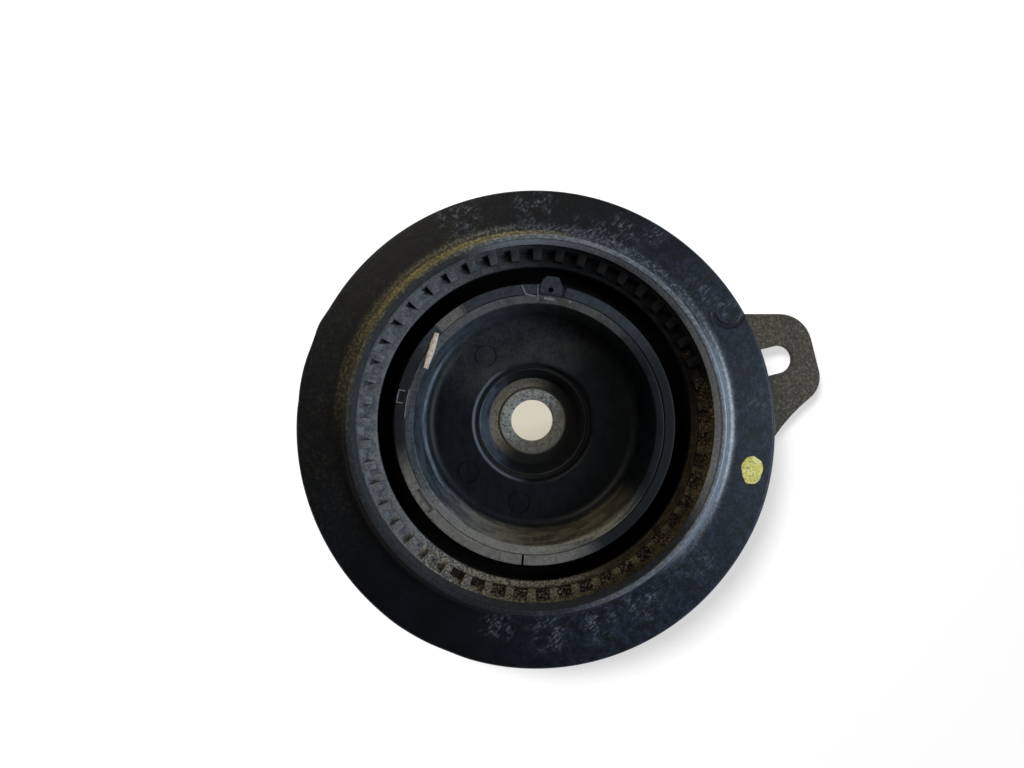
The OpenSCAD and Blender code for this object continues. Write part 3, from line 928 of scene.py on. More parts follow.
def smooth(piece: Thing, angle: float = SMOOTH_TO, weighted: bool = False) -> Thing:
    """Shade a piece smoothly, apart from edges sharper than an angle in degrees."""
    piece.data.shade_smooth()
    piece.data.set_sharp_from_angle(angle=math.radians(angle))
    if weighted:
        modifier = piece.modifiers.new("weighted", "WEIGHTED_NORMAL")
        modifier.keep_sharp = True
        evaluated(piece)
    return piece


def dress(piece: Thing, finish: Finish) -> Thing:
    """Give a piece one finish all over."""
    piece.data.materials.clear()
    piece.data.materials.append(finish.material())
    return piece


def hand_over(piece: Thing, body: Body, slot: Slot, *nodes: str) -> Thing:
    """Set a piece on its body and hide the nodes that it stands for."""
    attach(piece, body.value)
    if nodes:
        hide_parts(*nodes)
    LOG.info("%s: %d faces, rides on %s", piece.name, len(piece.data.polygons), body.value)
    return piece


class Pattern(Graph):
    """Geometry Nodes tree with named inputs, which is run once and leaves a plain mesh."""

    def __init__(self, name: str, inputs: Mapping[str, str]) -> None:
        """Make the group and its sockets.

        Args:
            name: the group's name.
            inputs: socket types by name, beyond the geometry and the finish.
        """
        group = bpy.data.node_groups.new(name, "GeometryNodeTree")
        super().__init__(group)
        face = group.interface
        face.new_socket("Geometry", in_out="INPUT", socket_type="NodeSocketGeometry")
        for label, kind in inputs.items():
            face.new_socket(label, in_out="INPUT", socket_type=kind)
        face.new_socket("Finish", in_out="INPUT", socket_type="NodeSocketMaterial")
        face.new_socket("Geometry", in_out="OUTPUT", socket_type="NodeSocketGeometry")
        self.entry = self.tree.nodes.new("NodeGroupInput")

    def given(self, label: str) -> Wire:
        """Wire of a named input."""
        return Wire(self, self.entry.outputs[label])

    def close(self, copies: Wire, weld: float) -> None:
        """Realize the copies, merge what meets, set the finish and end the tree."""
        real = self.make("GeometryNodeRealizeInstances", {}, {"Geometry": copies})
        merged = self.make("GeometryNodeMergeByDistance", {}, {"Geometry": real, "Distance": weld * MM})
        inputs = {"Geometry": merged, "Material": self.given("Finish")}
        coated = self.make("GeometryNodeSetMaterial", {}, inputs)
        self.make("NodeGroupOutput", {}, {"Geometry": coated})

    def run(self, piece: Thing, finish: Finish, **values: object) -> Thing:
        """Run the tree on a piece and keep the result as its mesh.

        Args:
            piece: the object whose mesh goes in.
            finish: the finish that the result gets.
            values: the named inputs.

        Returns:
            The same object with its new mesh.
        """
        modifier = piece.modifiers.new(self.tree.name, "NODES")
        modifier.node_group = self.tree
        given = {**values, "Finish": finish.material()}
        for item in self.tree.interface.items_tree:
            if item.in_out == "INPUT" and item.name in given:
                modifier[item.identifier] = given[item.name]
        return evaluated(piece)


class RoundTheAxis(Pattern):
    """Copies of one mesh, spread evenly round the axis and welded where they meet."""

    weld = 0.002

    def __init__(self) -> None:
        """Build the tree."""
        super().__init__("round_the_axis", {"Count": "NodeSocketInt"})
        count = self.given("Count")
        points = self.make("GeometryNodePoints", {}, {"Count": count})
        place = self.make("GeometryNodeInputIndex", {}, {})
        turn = self.make("ShaderNodeCombineXYZ", {}, {"Z": place * math.tau / count})
        inputs = {"Points": points, "Instance": self.given("Geometry"), "Rotation": turn}
        self.close(self.make("GeometryNodeInstanceOnPoints", {}, inputs), self.weld)


class Scatter(Pattern):
    """Small uneven grains spread over a bed."""

    def __init__(self) -> None:
        """Build the tree."""
        super().__init__("scatter", {"Density": "NodeSocketFloat", "Smallest": "NodeSocketFloat",
                                     "Largest": "NodeSocketFloat", "Seed": "NodeSocketInt"})
        seed = self.given("Seed")
        inputs = {"Mesh": self.given("Geometry"), "Density": self.given("Density"), "Seed": seed}
        points = self.make("GeometryNodeDistributePointsOnFaces", {}, inputs)
        grain = self.make("GeometryNodeMeshIcoSphere", {}, {"Radius": 1.0, "Subdivisions": 1})
        low, high = (self.make("ShaderNodeCombineXYZ", {}, {axis: self.given(end) for axis in "XYZ"})
                     for end in ("Smallest", "Largest"))
        kind = {"data_type": "FLOAT_VECTOR"}
        size = self.make("FunctionNodeRandomValue", kind, {0: low, 1: high, "Seed": seed})
        whole = (math.tau, math.tau, math.tau)
        turn = self.make("FunctionNodeRandomValue", kind, {0: (0.0, 0.0, 0.0), 1: whole, "Seed": seed + 1})
        inputs = {"Points": points, "Instance": grain, "Rotation": turn, "Scale": size}
        self.close(self.make("GeometryNodeInstanceOnPoints", {}, inputs), 0.0)


@dataclass(frozen=True)
class Bulge:
    """A soft bulge of the pad's edge: its angle of the view, its width in degrees and its height."""

    at: float
    wide: float
    out: float

    def height(self, angle: float) -> float:
        """How far the edge stands out at an angle of the view."""
        apart = (angle - self.at + 180) % 360 - 180
        return self.out * math.exp(-(apart / self.wide) ** 2)


@dataclass
class SpringPad:
    """Rubber pad with its centring bead, an edge off the axis and a hook round the seat's flange."""

    seat_out_r: float = 55.5
    seat_top: float = 33.0
    base_z: float = 29.0
    bead_foot_r: float = 55.05
    bead_in_r: float = 55.7
    bead_out_r: float = 57.3
    bead_h: float = 5.0
    bead_aside: float = 0.45
    bead_angle: float = 50.0
    bead_soft: float = 0.45
    fillet: float = 4.0
    edge_r: float = 73.5
    edge_offset: float = 1.5
    offset_dir: float = 359.0
    edge_soft: float = 1.2
    edge_lean: float = 0.4
    hook_z: float = 24.3
    hook_r: float = 66.5
    hook_soft: float = 2.0
    flange_r: float = 68.0
    flange_z: float = 25.5
    stations: int = 360
    bulges: tuple[Bulge, ...] = (
        Bulge(52, 22, -0.2), Bulge(125, 24, 0.1), Bulge(155, 3, 0.5), Bulge(166, 6, 0.25),
        Bulge(174, 1.2, -0.12), Bulge(207, 17, -0.15), Bulge(235, 4, 0.12), Bulge(249, 4, -0.22),
        Bulge(340, 13, 0.3))
    finish: PadRubber = PadRubber("pad_rubber")

    def edge_at(self, direction: float) -> float:
        """Distance of the pad's uneven edge from the axis, in a direction."""
        turn = math.radians(direction - self.offset_dir)
        aside = self.edge_offset * math.sin(turn)
        even = self.edge_offset * math.cos(turn) + math.sqrt(self.edge_r ** 2 - aside ** 2)
        return even + sum(bulge.height(direction - VIEW_TURN) for bulge in self.bulges)

    def section(self, direction: float, top: float) -> list[Vector]:
        """Points of the pad's section in a direction, from the seat's wall round to it again."""
        edge = self.edge_at(direction)
        flat_z = top - self.bead_h
        aside = self.bead_aside * math.cos(math.radians(direction - seen(self.bead_angle)))
        crest_r = self.bead_out_r + aside
        corners = [
            Corner(self.seat_out_r, self.base_z), Corner(self.seat_out_r, self.seat_top),
            Corner(self.bead_foot_r + aside, self.seat_top + CLEAR),
            Corner(self.bead_in_r + aside, top, self.bead_soft), Corner(crest_r, top, self.bead_soft),
            Corner(crest_r, flat_z, self.fillet), Corner(edge, flat_z, self.edge_soft),
            Corner(edge - self.edge_lean, self.hook_z, self.hook_soft), Corner(self.hook_r, self.hook_z),
            Corner(self.hook_r, self.flange_z), Corner(self.flange_r, self.flange_z),
            Corner(self.flange_r, self.base_z)]
        return rounded(corners, 8)

    def build(self) -> Thing:
        """Make the pad."""
        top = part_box("spring_pad")[1].z / MM
        rows = []
        for i in range(self.stations):
            direction = 360 * i / self.stations
            rows.append([on_circle(direction, p.x, p.y) for p in self.section(direction, top)])
        piece = Shell().sweep(rows, ring=True).piece("spring_pad_rubber", self.finish)
        return hand_over(piece, Body.SEAT, Slot.RUBBER, "spring_pad")


@dataclass
class SpringSeat:
    """Moulded seat with its ring of teeth, made as one sector between two teeth and repeated."""

    in_r: float = 49.6
    lip_in_r: float = 48.85
    lip_soft: float = 0.6
    lip_t: float = 2.4
    lip_z: float = 30.2
    lip_run: float = 1.0
    tooth_in_r: float = 50.6
    tooth_out_r: float = 54.3
    tooth_gap: float = 4.3
    tooth_base: float = 30.4
    wall_lean: float = 1.3
    catch_in_r: float = 44.3
    catch_z: float = 20.0
    catch_top: float = 22.0
    race_r: float = 3.7
    ball_circle_r: float = 53.5
    ball_z: float = 18.2
    skirt_in_r: float = 57.9
    skirt_out_r: float = 60.4
    skirt_z: float = 17.0
    skirt_soft: float = 1.0
    flange_r: float = 68.0
    flange_z: float = 25.5
    flange_top: float = 29.0
    out_r: float = 55.5
    top: float = 33.0
    land_soft: float = 0.18
    edge: float = 0.4
    worn: float = 0.22
    count: int = 48
    finish: SeatPlastic = SeatPlastic("dusty_seat_plastic")

    def gap_dir(self, index: int) -> float:
        """Direction of the middle of a gap between two teeth."""
        return (index + 0.5) * 360 / self.count

    def below(self) -> list[Vector]:
        """Section from the lip down, round the seat and up to its outer land."""
        groove_r = self.ball_circle_r + self.race_r
        corners = [
            Corner(self.tooth_in_r, self.lip_z), Corner(self.lip_in_r, self.lip_z, self.lip_soft),
            Corner(self.lip_in_r, self.lip_z - self.lip_t),
            Corner(self.in_r, self.lip_z - self.lip_t - self.lip_run),
            Corner(self.in_r, self.catch_top), Corner(self.catch_in_r, self.catch_top),
            Corner(self.catch_in_r, self.catch_z), Corner(self.in_r, self.catch_z),
            Corner(self.in_r + self.edge, self.ball_z + self.race_r),
            Corner(groove_r, self.ball_z + self.race_r, self.race_r),
            Corner(groove_r, self.ball_z - self.edge), Corner(self.skirt_in_r, self.ball_z - self.edge),
            Corner(self.skirt_in_r, self.skirt_z), Corner(self.skirt_out_r, self.skirt_z),
            Corner(self.skirt_out_r, self.flange_z, self.skirt_soft), Corner(self.flange_r, self.flange_z),
            Corner(self.flange_r, self.flange_top), Corner(self.out_r, self.flange_top),
            Corner(self.out_r, self.top, self.land_soft), Corner(self.out_r - self.edge, self.top)]
        return rounded(corners, 6, closed=False)

    def above(self, tooth: bool, drop: float) -> list[Vector]:
        """Section from the outer land in to the lip, over a tooth or through a gap.

        Args:
            tooth: the section runs over a tooth.
            drop: how far the worn edge lies below the tooth's top.

        Returns:
            Plane points, as many for a tooth as for a gap.
        """
        foot = Vector((self.tooth_in_r, self.tooth_base))
        wall = self.tooth_out_r - self.wall_lean
        level = self.top - drop if tooth else self.tooth_base
        front = Vector((self.tooth_in_r, self.top - self.worn)) if tooth else foot
        return [Vector((self.tooth_out_r, self.top)), Vector((wall, level)),
                Vector((self.tooth_in_r + self.worn, level)), front, foot]

    def sector(self) -> Thing:
        """Mesh from the middle of one tooth to the middle of the next, open at its two sides."""
        half = self.tooth_gap / 2
        turn = Matrix.Rotation(math.radians(self.gap_dir(0)), 3, "Z")
        columns = [(None, True, 0.0), (half + self.worn, True, 0.0), (half, True, self.worn),
                   (half, False, 0.0), (half / 3, False, 0.0)]
        rows = []
        for sign in (-1, 1):
            for aside, tooth, drop in (columns if sign < 0 else reversed(columns)):
                row = []
                for point in self.below() + self.above(tooth, drop):
                    shift = point.x * math.sin(math.pi / self.count) if aside is None else aside
                    along = math.sqrt(point.x ** 2 - shift ** 2)
                    row.append(turn @ Vector((along, sign * shift, point.y)))
                rows.append(row)
        return Shell().sweep(rows, caps=False).object("spring_seat_body")

    def build(self, pattern: RoundTheAxis) -> Thing:
        """Make the seat from copies of its sector."""
        piece = pattern.run(self.sector(), self.finish, Count=self.count)
        return hand_over(smooth(piece, angle=30.0), Body.SEAT, Slot.SEAT, "spring_seat")


@dataclass
class ToothSoil:
    """Road dirt between the teeth at the lower right of the view, with loose grains on it."""

    seat: SpringSeat
    first: float = 236.0
    last: float = 392.0
    rise: float = 34.0
    fall: float = 30.0
    least: float = 0.05
    uneven: tuple[float, float] = (0.35, 1.0)
    side_gap: float = 0.1
    skin: float = 0.08
    height: float = 2.0
    lump: float = 0.5
    lumps: int = 6
    margin: float = 14.0
    pace: float = 2.0
    smallest: float = 0.08
    largest: float = 0.3
    density: float = 2.6
    seed: int = 11
    finish: Soil = Soil("tooth_soil")
    sand: Soil = Soil("sand_grains", rgb(118, 104, 82), rgb(52, 43, 31), rgb(172, 158, 132))

    def fill(self, angle: float) -> float:
        """How full a gap is at an angle of the view, from 0 to 1."""
        rising = eased(angle, self.first, self.first + self.rise)
        return rising * (1 - eased(angle, self.last - self.fall, self.last))

    def mound(self, shell: Shell, direction: float, fill: float, draw: random.Random) -> None:
        """Add one closed mound of dirt against the wall behind a gap.

        Args:
            shell: the mesh that takes the mound.
            direction: direction of the gap's middle.
            fill: how full the gap is.
            draw: source of the uneven heights.
        """
        seat = self.seat
        half = seat.tooth_gap / 2 - self.side_gap
        inner = seat.tooth_in_r + self.side_gap
        wide = seat.tooth_out_r - seat.wall_lean / 2 - inner
        low = seat.tooth_base + CLEAR
        spin = Matrix.Rotation(math.radians(direction), 3, "Z")
        rows = []
        for i in range(self.lumps + 1):
            share = i / self.lumps
            level = low + self.skin + fill * self.height * share
            heap = [Vector((inner + wide * share, half * (2 * j / self.lumps - 1),
                            level + draw.uniform(0.0, self.lump) * share)) for j in range(self.lumps + 1)]
            foot = [Vector((inner + wide * share, side * half, low)) for side in (1, -1)]
            rows.append([spin @ point for point in heap + foot])
        shell.sweep(rows)

    def build(self, scatter: Scatter) -> list[Thing]:
        """Make the mounds and the loose grains."""
        draw = random.Random(self.seed)
        shell = Shell()
        seat = self.seat
        for i in range(seat.count):
            direction = seat.gap_dir(i)
            angle = (direction - VIEW_TURN) % 360
            angle = angle + 360 if angle < self.last - 360 else angle
            fill = self.fill(angle)
            if fill > self.least:
                self.mound(shell, direction, fill * draw.uniform(*self.uneven), draw)
        mounds = shell.piece("tooth_soil_mounds", self.finish, angle=70.0)
        count = int((self.last - self.first - 2 * self.margin) / self.pace)
        ways = [seen(self.first + self.margin + self.pace * i) for i in range(count)]
        sides = (seat.tooth_in_r, seat.out_r)
        rows = [[on_circle(way, r, seat.top + CLEAR) for r in sides] for way in ways]
        bed = Shell().sweep(rows, closed=False)
        grains = scatter.run(bed.object("tooth_soil_grains"), self.sand, Density=self.density / MM ** 2,
                             Smallest=self.smallest * MM, Largest=self.largest * MM, Seed=self.seed)
        pieces = [mounds, smooth(grains, angle=80.0)]
        return [hand_over(piece, Body.SEAT, Slot.SEAT) for piece in pieces]


@dataclass
class BumpCup:
    """Cup for the bump stop, with its floor marks, snap rib, flange and bearing saddle."""

    recess_r: float = 19.0
    base_z: float = 14.0
    floor_z: float = 17.0
    lip: float = 1.5
    floor_r: float = 34.4
    fillet: float = 3.5
    mouth_r: float = 37.4
    wall_r: float = 40.0
    groove_z: float = 27.0
    groove_h: float = 1.2
    groove_d: float = 0.6
    ring_z: float = 25.0
    ring_r: float = 43.3
    snap_z: float = 22.5
    snap_r: float = 45.4
    snap_flat: float = 0.7
    snap_h: float = 1.9
    saddle_z: float = 14.0
    saddle_r: float = 47.4
    saddle_run: float = 1.1
    bed_end: float = 0.5
    bed_foot: float = 1.0
    ball_circle_r: float = 53.5
    ball_z: float = 18.2
    race_r: float = 3.7
    flange_r: float = 59.4
    under_z: float = 11.5
    step_r: float = 43.4
    step_run: float = 5.0
    edge: float = 0.4
    mark_r: float = 3.6
    mark_line: float = 0.3
    mark_steps: int = 40
    mark_dirs: tuple[float, ...] = (201.5, 293.5, 336.0)
    stations: int = 240
    finish: CupPlastic = CupPlastic("blue_cup_plastic")

    def section(self, top: float) -> list[Vector]:
        """Closed section of the cup."""
        bed_r = self.ball_circle_r - self.race_r
        corners = [
            Corner(self.recess_r, self.base_z), Corner(self.recess_r, self.floor_z, self.lip),
            Corner(self.floor_r, self.floor_z, self.fillet), Corner(self.mouth_r, top, self.edge),
            Corner(self.wall_r, top, self.edge), Corner(self.wall_r, self.groove_z + self.groove_h),
            Corner(self.wall_r - self.groove_d, self.groove_z + self.groove_h),
            Corner(self.wall_r - self.groove_d, self.groove_z), Corner(self.wall_r, self.groove_z),
            Corner(self.wall_r, self.ring_z), Corner(self.ring_r, self.ring_z),
            Corner(self.ring_r, self.snap_z + self.snap_h), Corner(self.snap_r, self.snap_z + self.snap_flat),
            Corner(self.snap_r, self.snap_z), Corner(self.ring_r, self.snap_z),
            Corner(self.ring_r, self.saddle_z), Corner(self.saddle_r, self.saddle_z),
            Corner(self.saddle_r + self.saddle_run, self.ball_z + self.edge),
            Corner(bed_r, self.ball_z + self.edge),
            Corner(bed_r, self.ball_z - self.race_r, self.race_r),
            Corner(self.ball_circle_r + self.bed_end, self.ball_z - self.race_r),
            Corner(self.ball_circle_r + self.bed_foot, self.saddle_z),
            Corner(self.flange_r, self.saddle_z, self.edge),
            Corner(self.flange_r, self.under_z), Corner(self.step_r, self.under_z),
            Corner(self.step_r - self.step_run, self.base_z)]
        return rounded(corners, 7)

    def mark_tool(self) -> Thing:
        """Cutter for the round moulding marks in the floor."""
        shell = Shell()
        middle_r = (self.recess_r + self.floor_r) / 2
        low = self.floor_z - self.mark_line
        high = self.floor_z + self.mark_line
        inner_r = self.mark_r - self.mark_line
        section = ((self.mark_r, low), (self.mark_r, high), (inner_r, high), (inner_r, low))
        ways = [360 * i / self.mark_steps for i in range(self.mark_steps)]
        for direction in self.mark_dirs:
            at = on_circle(direction, middle_r, 0)
            shell.sweep([[at + on_circle(way, r, z) for r, z in section] for way in ways], ring=True)
        return shell.object("mark_tool")

    def build(self) -> Thing:
        """Make the cup."""
        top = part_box("bump_cup")[1].z / MM
        turned = Shell().spin(self.section(top), self.stations)
        piece = combine(turned.object("bump_cup_body"), self.mark_tool(), "DIFFERENCE")
        return hand_over(dress(smooth(piece, angle=32.0), self.finish), Body.MOUNT, Slot.CUP, "bump_cup")


@dataclass(frozen=True)
class Dent:
    """A shallow step in the clip ring's top face, between two angles of the view and two radii."""

    first: float
    last: float
    depth: float
    inner: float = 40.0
    outer: float = 44.0

    def at(self, angle: float, radius: float) -> float:
        """Depth of the dent at an angle and a radius."""
        inside = self.first <= angle <= self.last and self.inner <= radius <= self.outer
        return self.depth if inside else 0.0


@dataclass
class ClipRing:
    """Split ring round the cup's rim, with its lug, window, steps and scrapes."""

    in_r: float = 40.1
    out_r: float = 43.3
    base_z: float = 25.0
    groove_z: float = 27.0
    groove_h: float = 1.2
    bead_r: float = 39.6
    gap: float = 0.1
    edge: float = 0.4
    split_dir: float = 341.0
    split: float = 0.7
    lug_dir: float = 159.0
    lug_out: float = 2.6
    lug_w: float = 6.8
    lug_h: float = 4.2
    lug_rise: float = 0.25
    lug_root: float = 0.3
    lug_soft: float = 0.7
    lug_taper: float = 3.4
    lug_bevel: float = 0.2
    hole_r: float = 0.8
    hole_depth: float = 3.0
    hole_over: float = 1.0
    hole_steps: int = 24
    outer_soft: float = 0.12
    inner_soft: float = 0.2
    step: float = 0.5
    border: float = 0.03
    face_r: tuple[float, ...] = (42.9, 42.65, 42.6, 42.0, 41.3, 41.25, 40.5, 40.45)
    dents: tuple[Dent, ...] = (
        Dent(209.0, 220.0, 0.9, 40.5, 42.6), Dent(165.4, 170.4, 0.35, 41.3, 42.9), Dent(121.6, 122.4, 0.5),
        Dent(87.4, 88.2, 0.3), Dent(76.6, 78.2, 0.7), Dent(254.6, 255.4, 0.2), Dent(299.6, 300.4, 0.2),
        Dent(40.0, 40.8, 0.2))
    finish: RingPlastic = RingPlastic("ring_plastic")

    def angles(self) -> list[float]:
        """Angles of the view at which the ring has a section, from the split right round to it."""
        half = math.degrees(self.split / 2 / self.out_r)
        start = self.split_dir - VIEW_TURN + half
        end = start + 360 - 2 * half
        count = int((end - start) / self.step)
        ways = [start + (end - start) * i / count for i in range(count + 1)]
        for dent in self.dents:
            for edge in (dent.first, dent.last):
                ways += [start + (edge + shift - start) % 360 for shift in (-self.border, self.border)]
        return sorted(ways)

    def section(self, angle: float, top: float) -> list[Vector]:
        """Section of the ring at an angle of the view."""
        turned = angle % 360
        groove_top = self.groove_z + self.groove_h
        points = [
            (self.in_r, self.base_z), (self.out_r, self.base_z), (self.out_r, top - self.edge),
            (self.out_r - self.outer_soft, top - self.outer_soft),
            *((r, top - max(dent.at(turned, r) for dent in self.dents)) for r in self.face_r),
            (self.in_r + self.inner_soft, top), (self.in_r, top - self.inner_soft),
            (self.in_r, groove_top - self.gap), (self.bead_r, groove_top - 2 * self.gap),
            (self.bead_r, self.groove_z + 2 * self.gap), (self.in_r, self.groove_z + self.gap)]
        return [Vector(point) for point in points]

    def lug(self, top: float) -> Thing:
        """Lug that stands out of the ring."""
        half = self.lug_w / 2
        tip = self.lug_w / self.lug_taper
        outer = self.out_r + self.lug_out
        corners = [Corner(self.in_r + self.edge, -half), Corner(self.out_r, -half, self.lug_root),
                   Corner(outer, -tip, self.lug_soft), Corner(outer, tip, self.lug_soft),
                   Corner(self.out_r, half, self.lug_root), Corner(self.in_r + self.edge, half)]
        spin = Matrix.Rotation(math.radians(self.lug_dir), 2)
        outline = [spin @ point for point in rounded(corners, 4)]
        shell = Shell().prism(outline, top - self.lug_h, top + self.lug_rise, self.lug_bevel)
        return shell.object("lug")

    def pin_hole(self, top: float) -> Thing:
        """Cutter for the pin hole in the lug."""
        middle = on_circle(self.lug_dir, (self.in_r + self.out_r) / 2, 0).xy
        ways = [360 * i / self.hole_steps for i in range(self.hole_steps)]
        outline = [middle + on_circle(way, self.hole_r, 0).xy for way in ways]
        return Shell().prism(outline, top - self.hole_depth, top + self.hole_over).object("pin_hole")

    def build(self) -> Thing:
        """Make the ring."""
        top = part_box("bump_cup")[1].z / MM
        rows = []
        for angle in self.angles():
            rows.append([on_circle(seen(angle), p.x, p.y) for p in self.section(angle, top)])
        piece = combine(Shell().sweep(rows).object("clip_ring_body"), self.lug(top), "UNION")
        piece = combine(piece, self.pin_hole(top), "DIFFERENCE")
        return hand_over(dress(smooth(piece, angle=30.0), self.finish), Body.MOUNT, Slot.CUP, "clip_ring")


@dataclass
class RodHub:
    """Steel sleeve with the rod bore, the disc round it and the bonded rubber."""

    bore_r: float = 7.15
    sleeve_r: float = 11.3
    sleeve_soft: float = 0.32
    land_r: float = 14.6
    disc_r: float = 28.0
    disc_z: float = 4.0
    disc_top: float = 8.0
    edge: float = 0.4
    skin: float = 1.0
    plate_t: float = 3.0
    rubber_r: float = 35.0
    rubber_top: float = 12.0
    cone_top: float = 14.0
    cone_r: float = 18.0
    cone_soft: float = 0.3
    foot_run: float = 0.7
    foot_soft: float = 1.0
    stations: int = 160
    steel: HubSteel = HubSteel("pitted_hub_steel")
    rubber: CoreRubber = CoreRubber("core_rubber")

    def sleeve(self) -> Thing:
        """Turned sleeve with softened edges."""
        low, high = (corner.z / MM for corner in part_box("hub_sleeve"))
        soft = self.sleeve_soft
        corners = [Corner(self.bore_r, low, soft), Corner(self.sleeve_r, low, soft),
                   Corner(self.sleeve_r, high, soft), Corner(self.bore_r, high, soft)]
        shell = Shell().spin(rounded(corners, 4), self.stations)
        piece = shell.piece("hub_sleeve_steel", self.steel, angle=50.0)
        return hand_over(piece, Body.MOUNT, Slot.HUB, "hub_sleeve")

    def disc(self) -> Thing:
        """Steel disc on the sleeve."""
        corners = [Corner(self.sleeve_r, self.disc_z), Corner(self.disc_r, self.disc_z),
                   Corner(self.disc_r, self.disc_top), Corner(self.sleeve_r, self.disc_top)]
        piece = Shell().spin(rounded(corners), self.stations).piece("hub_disc_steel", self.steel)
        return hand_over(piece, Body.MOUNT, Slot.HUB, "hub_plate")

    def core(self) -> Thing:
        """Rubber round the disc, with its cone up to the cup's floor."""
        mouth_r = self.cone_r - self.edge - self.cone_soft
        corners = [
            Corner(self.land_r, self.disc_top), Corner(self.disc_r, self.disc_top),
            Corner(self.disc_r, self.disc_z), Corner(self.land_r - self.skin, self.disc_z),
            Corner(self.land_r, self.plate_t, self.edge), Corner(self.rubber_r, self.plate_t),
            Corner(self.rubber_r, self.rubber_top), Corner(self.cone_r, self.rubber_top),
            Corner(self.cone_r, self.cone_top, self.cone_soft),
            Corner(mouth_r, self.cone_top, self.cone_soft),
            Corner(self.land_r + self.foot_run, self.disc_top + self.foot_soft, self.foot_soft)]
        piece = Shell().spin(rounded(corners), self.stations).piece("core_rubber_body", self.rubber)
        return hand_over(piece, Body.MOUNT, Slot.RUBBER, "core_rubber")

    def build(self) -> list[Thing]:
        """Make the three pieces."""
        return [self.sleeve(), self.disc(), self.core()]


@dataclass
class Bearing:
    """Balls of the bearing, round the axis."""

    ball_r: float = 2.5
    circle_r: float = 53.5
    height: float = 18.2
    count: int = 36
    finish: BearingSteel = BearingSteel("bearing_steel")

    def build(self, pattern: RoundTheAxis) -> Thing:
        """Make the balls from copies of one."""
        shell = Shell()
        place = Matrix.Translation((self.circle_r, 0, self.height))
        bmesh.ops.create_icosphere(shell.bm, subdivisions=3, radius=self.ball_r, matrix=place)
        piece = pattern.run(shell.object("bearing_ball_set"), self.finish, Count=self.count)
        return hand_over(smooth(piece, angle=60.0), Body.CAGE, Slot.BALL, "bearing_balls")


@dataclass
class PressedPart:
    """A rigid node whose shape is right: its mesh is copied, merged and shaded smoothly."""

    node: str
    body: Body
    slot: Slot
    finish: Finish

    def build(self) -> Thing:
        """Make the smooth copy that stands for the node."""
        shell = Shell()
        shell.bm.from_mesh(bpy.data.objects[self.node].data)
        bmesh.ops.scale(shell.bm, vec=(1 / MM, 1 / MM, 1 / MM), verts=shell.bm.verts)
        piece = smooth(shell.object(f"{self.node}_part", outward=False), angle=40.0, weighted=True)
        return hand_over(dress(piece, self.finish), self.body, self.slot, self.node)


@dataclass
class PaintDab:
    """Dab of yellow marking paint on the pad's flange."""

    angle: float = -11.7
    radius: float = 67.9
    half_across: float = 3.3
    half_along: float = 4.2
    base_z: float = 33.97
    thick: float = 0.16
    stations: int = 56
    waves: tuple[int, ...] = (2, 3, 5, 9)
    wave_size: tuple[float, float] = (0.01, 0.03)
    profile: tuple[tuple[float, float], ...] = (
        (1.0, 0.0), (1.0, 0.35), (0.94, 0.75), (0.7, 0.95), (0.3, 1.0))
    seed: int = 5
    finish: YellowPaint = YellowPaint("yellow_paint")

    def build(self) -> Thing:
        """Make the dab with its uneven border."""
        draw = random.Random(self.seed)
        waves = [(k, draw.uniform(0, math.tau), draw.uniform(*self.wave_size)) for k in self.waves]
        middle = on_circle(seen(self.angle), self.radius, 0)
        spin = Matrix.Rotation(math.radians(VIEW_TURN), 2)
        rows = []
        for share, height in self.profile:
            row = []
            for i in range(self.stations):
                turn = math.tau * i / self.stations
                wobble = 1 + sum(size * math.cos(k * turn + start) for k, start, size in waves)
                flat = spin @ Vector((self.half_across * math.cos(turn), self.half_along * math.sin(turn)))
                flat = flat * (share * wobble)
                row.append(Vector((middle.x + flat.x, middle.y + flat.y, self.base_z + self.thick * height)))
            rows.append(row)
        piece = Shell().sweep(rows).piece("paint_dab", self.finish, angle=60.0)
        return hand_over(piece, Body.SEAT, Slot.RUBBER)


@dataclass
class RimChip:
    """Pale chip caught on the rim between the cup and the clip ring."""

    first: tuple[float, float] = (136.7, 41.1)
    last: tuple[float, float] = (152.5, 37.6)
    width: float = 1.9
    thick: float = 0.5
    base_z: float = 33.02
    shoulder: float = 0.6
    crown: float = 0.8
    end_share: float = 0.75
    jitter: float = 0.08
    tilt: float = 0.05
    pieces: int = 9
    seed: int = 3
    finish: PaleChip = PaleChip("pale_chip")

    def build(self) -> Thing:
        """Make the chip as a thin uneven strip."""
        draw = random.Random(self.seed)
        start = on_circle(seen(self.first[0]), self.first[1], 0)
        end = on_circle(seen(self.last[0]), self.last[1], 0)
        along = (end - start).normalized()
        across = Vector((-along.y, along.x, 0))
        rows = []
        for i in range(self.pieces + 1):
            share = i / self.pieces
            middle = start.lerp(end, share) + across * draw.uniform(-self.jitter, self.jitter)
            full = self.end_share + (1 - self.end_share) * math.sin(math.pi * share)
            half = self.width / 2 * full + draw.uniform(-self.jitter, self.jitter)
            rise = self.thick + draw.uniform(-self.tilt, self.tilt)
            crown = half * self.crown
            section = ((-half, 0.0), (half, 0.0), (half, self.shoulder), (crown, 1.0), (-crown, 1.0),
                       (-half, self.shoulder))
            rows.append([middle + across * x + Vector((0, 0, self.base_z + z * rise)) for x, z in section])
        piece = Shell().sweep(rows).piece("rim_chip", self.finish, angle=50.0)
        return hand_over(piece, Body.MOUNT, Slot.CUP)


@dataclass(frozen=True)
class Stroke:
    """A thin raised line: its points as angles of the view and radii, and its width."""

    points: tuple[tuple[float, float], ...]
    width: float = 0.4


def along_rim(first: float, last: float, radius: float, width: float = 0.35) -> Stroke:
    """Stroke that follows the rim between two angles of the view."""
    count = max(int(abs(last - first) / 2), 2)
    return Stroke(tuple((first + (last - first) * i / count, radius) for i in range(count + 1)), width)


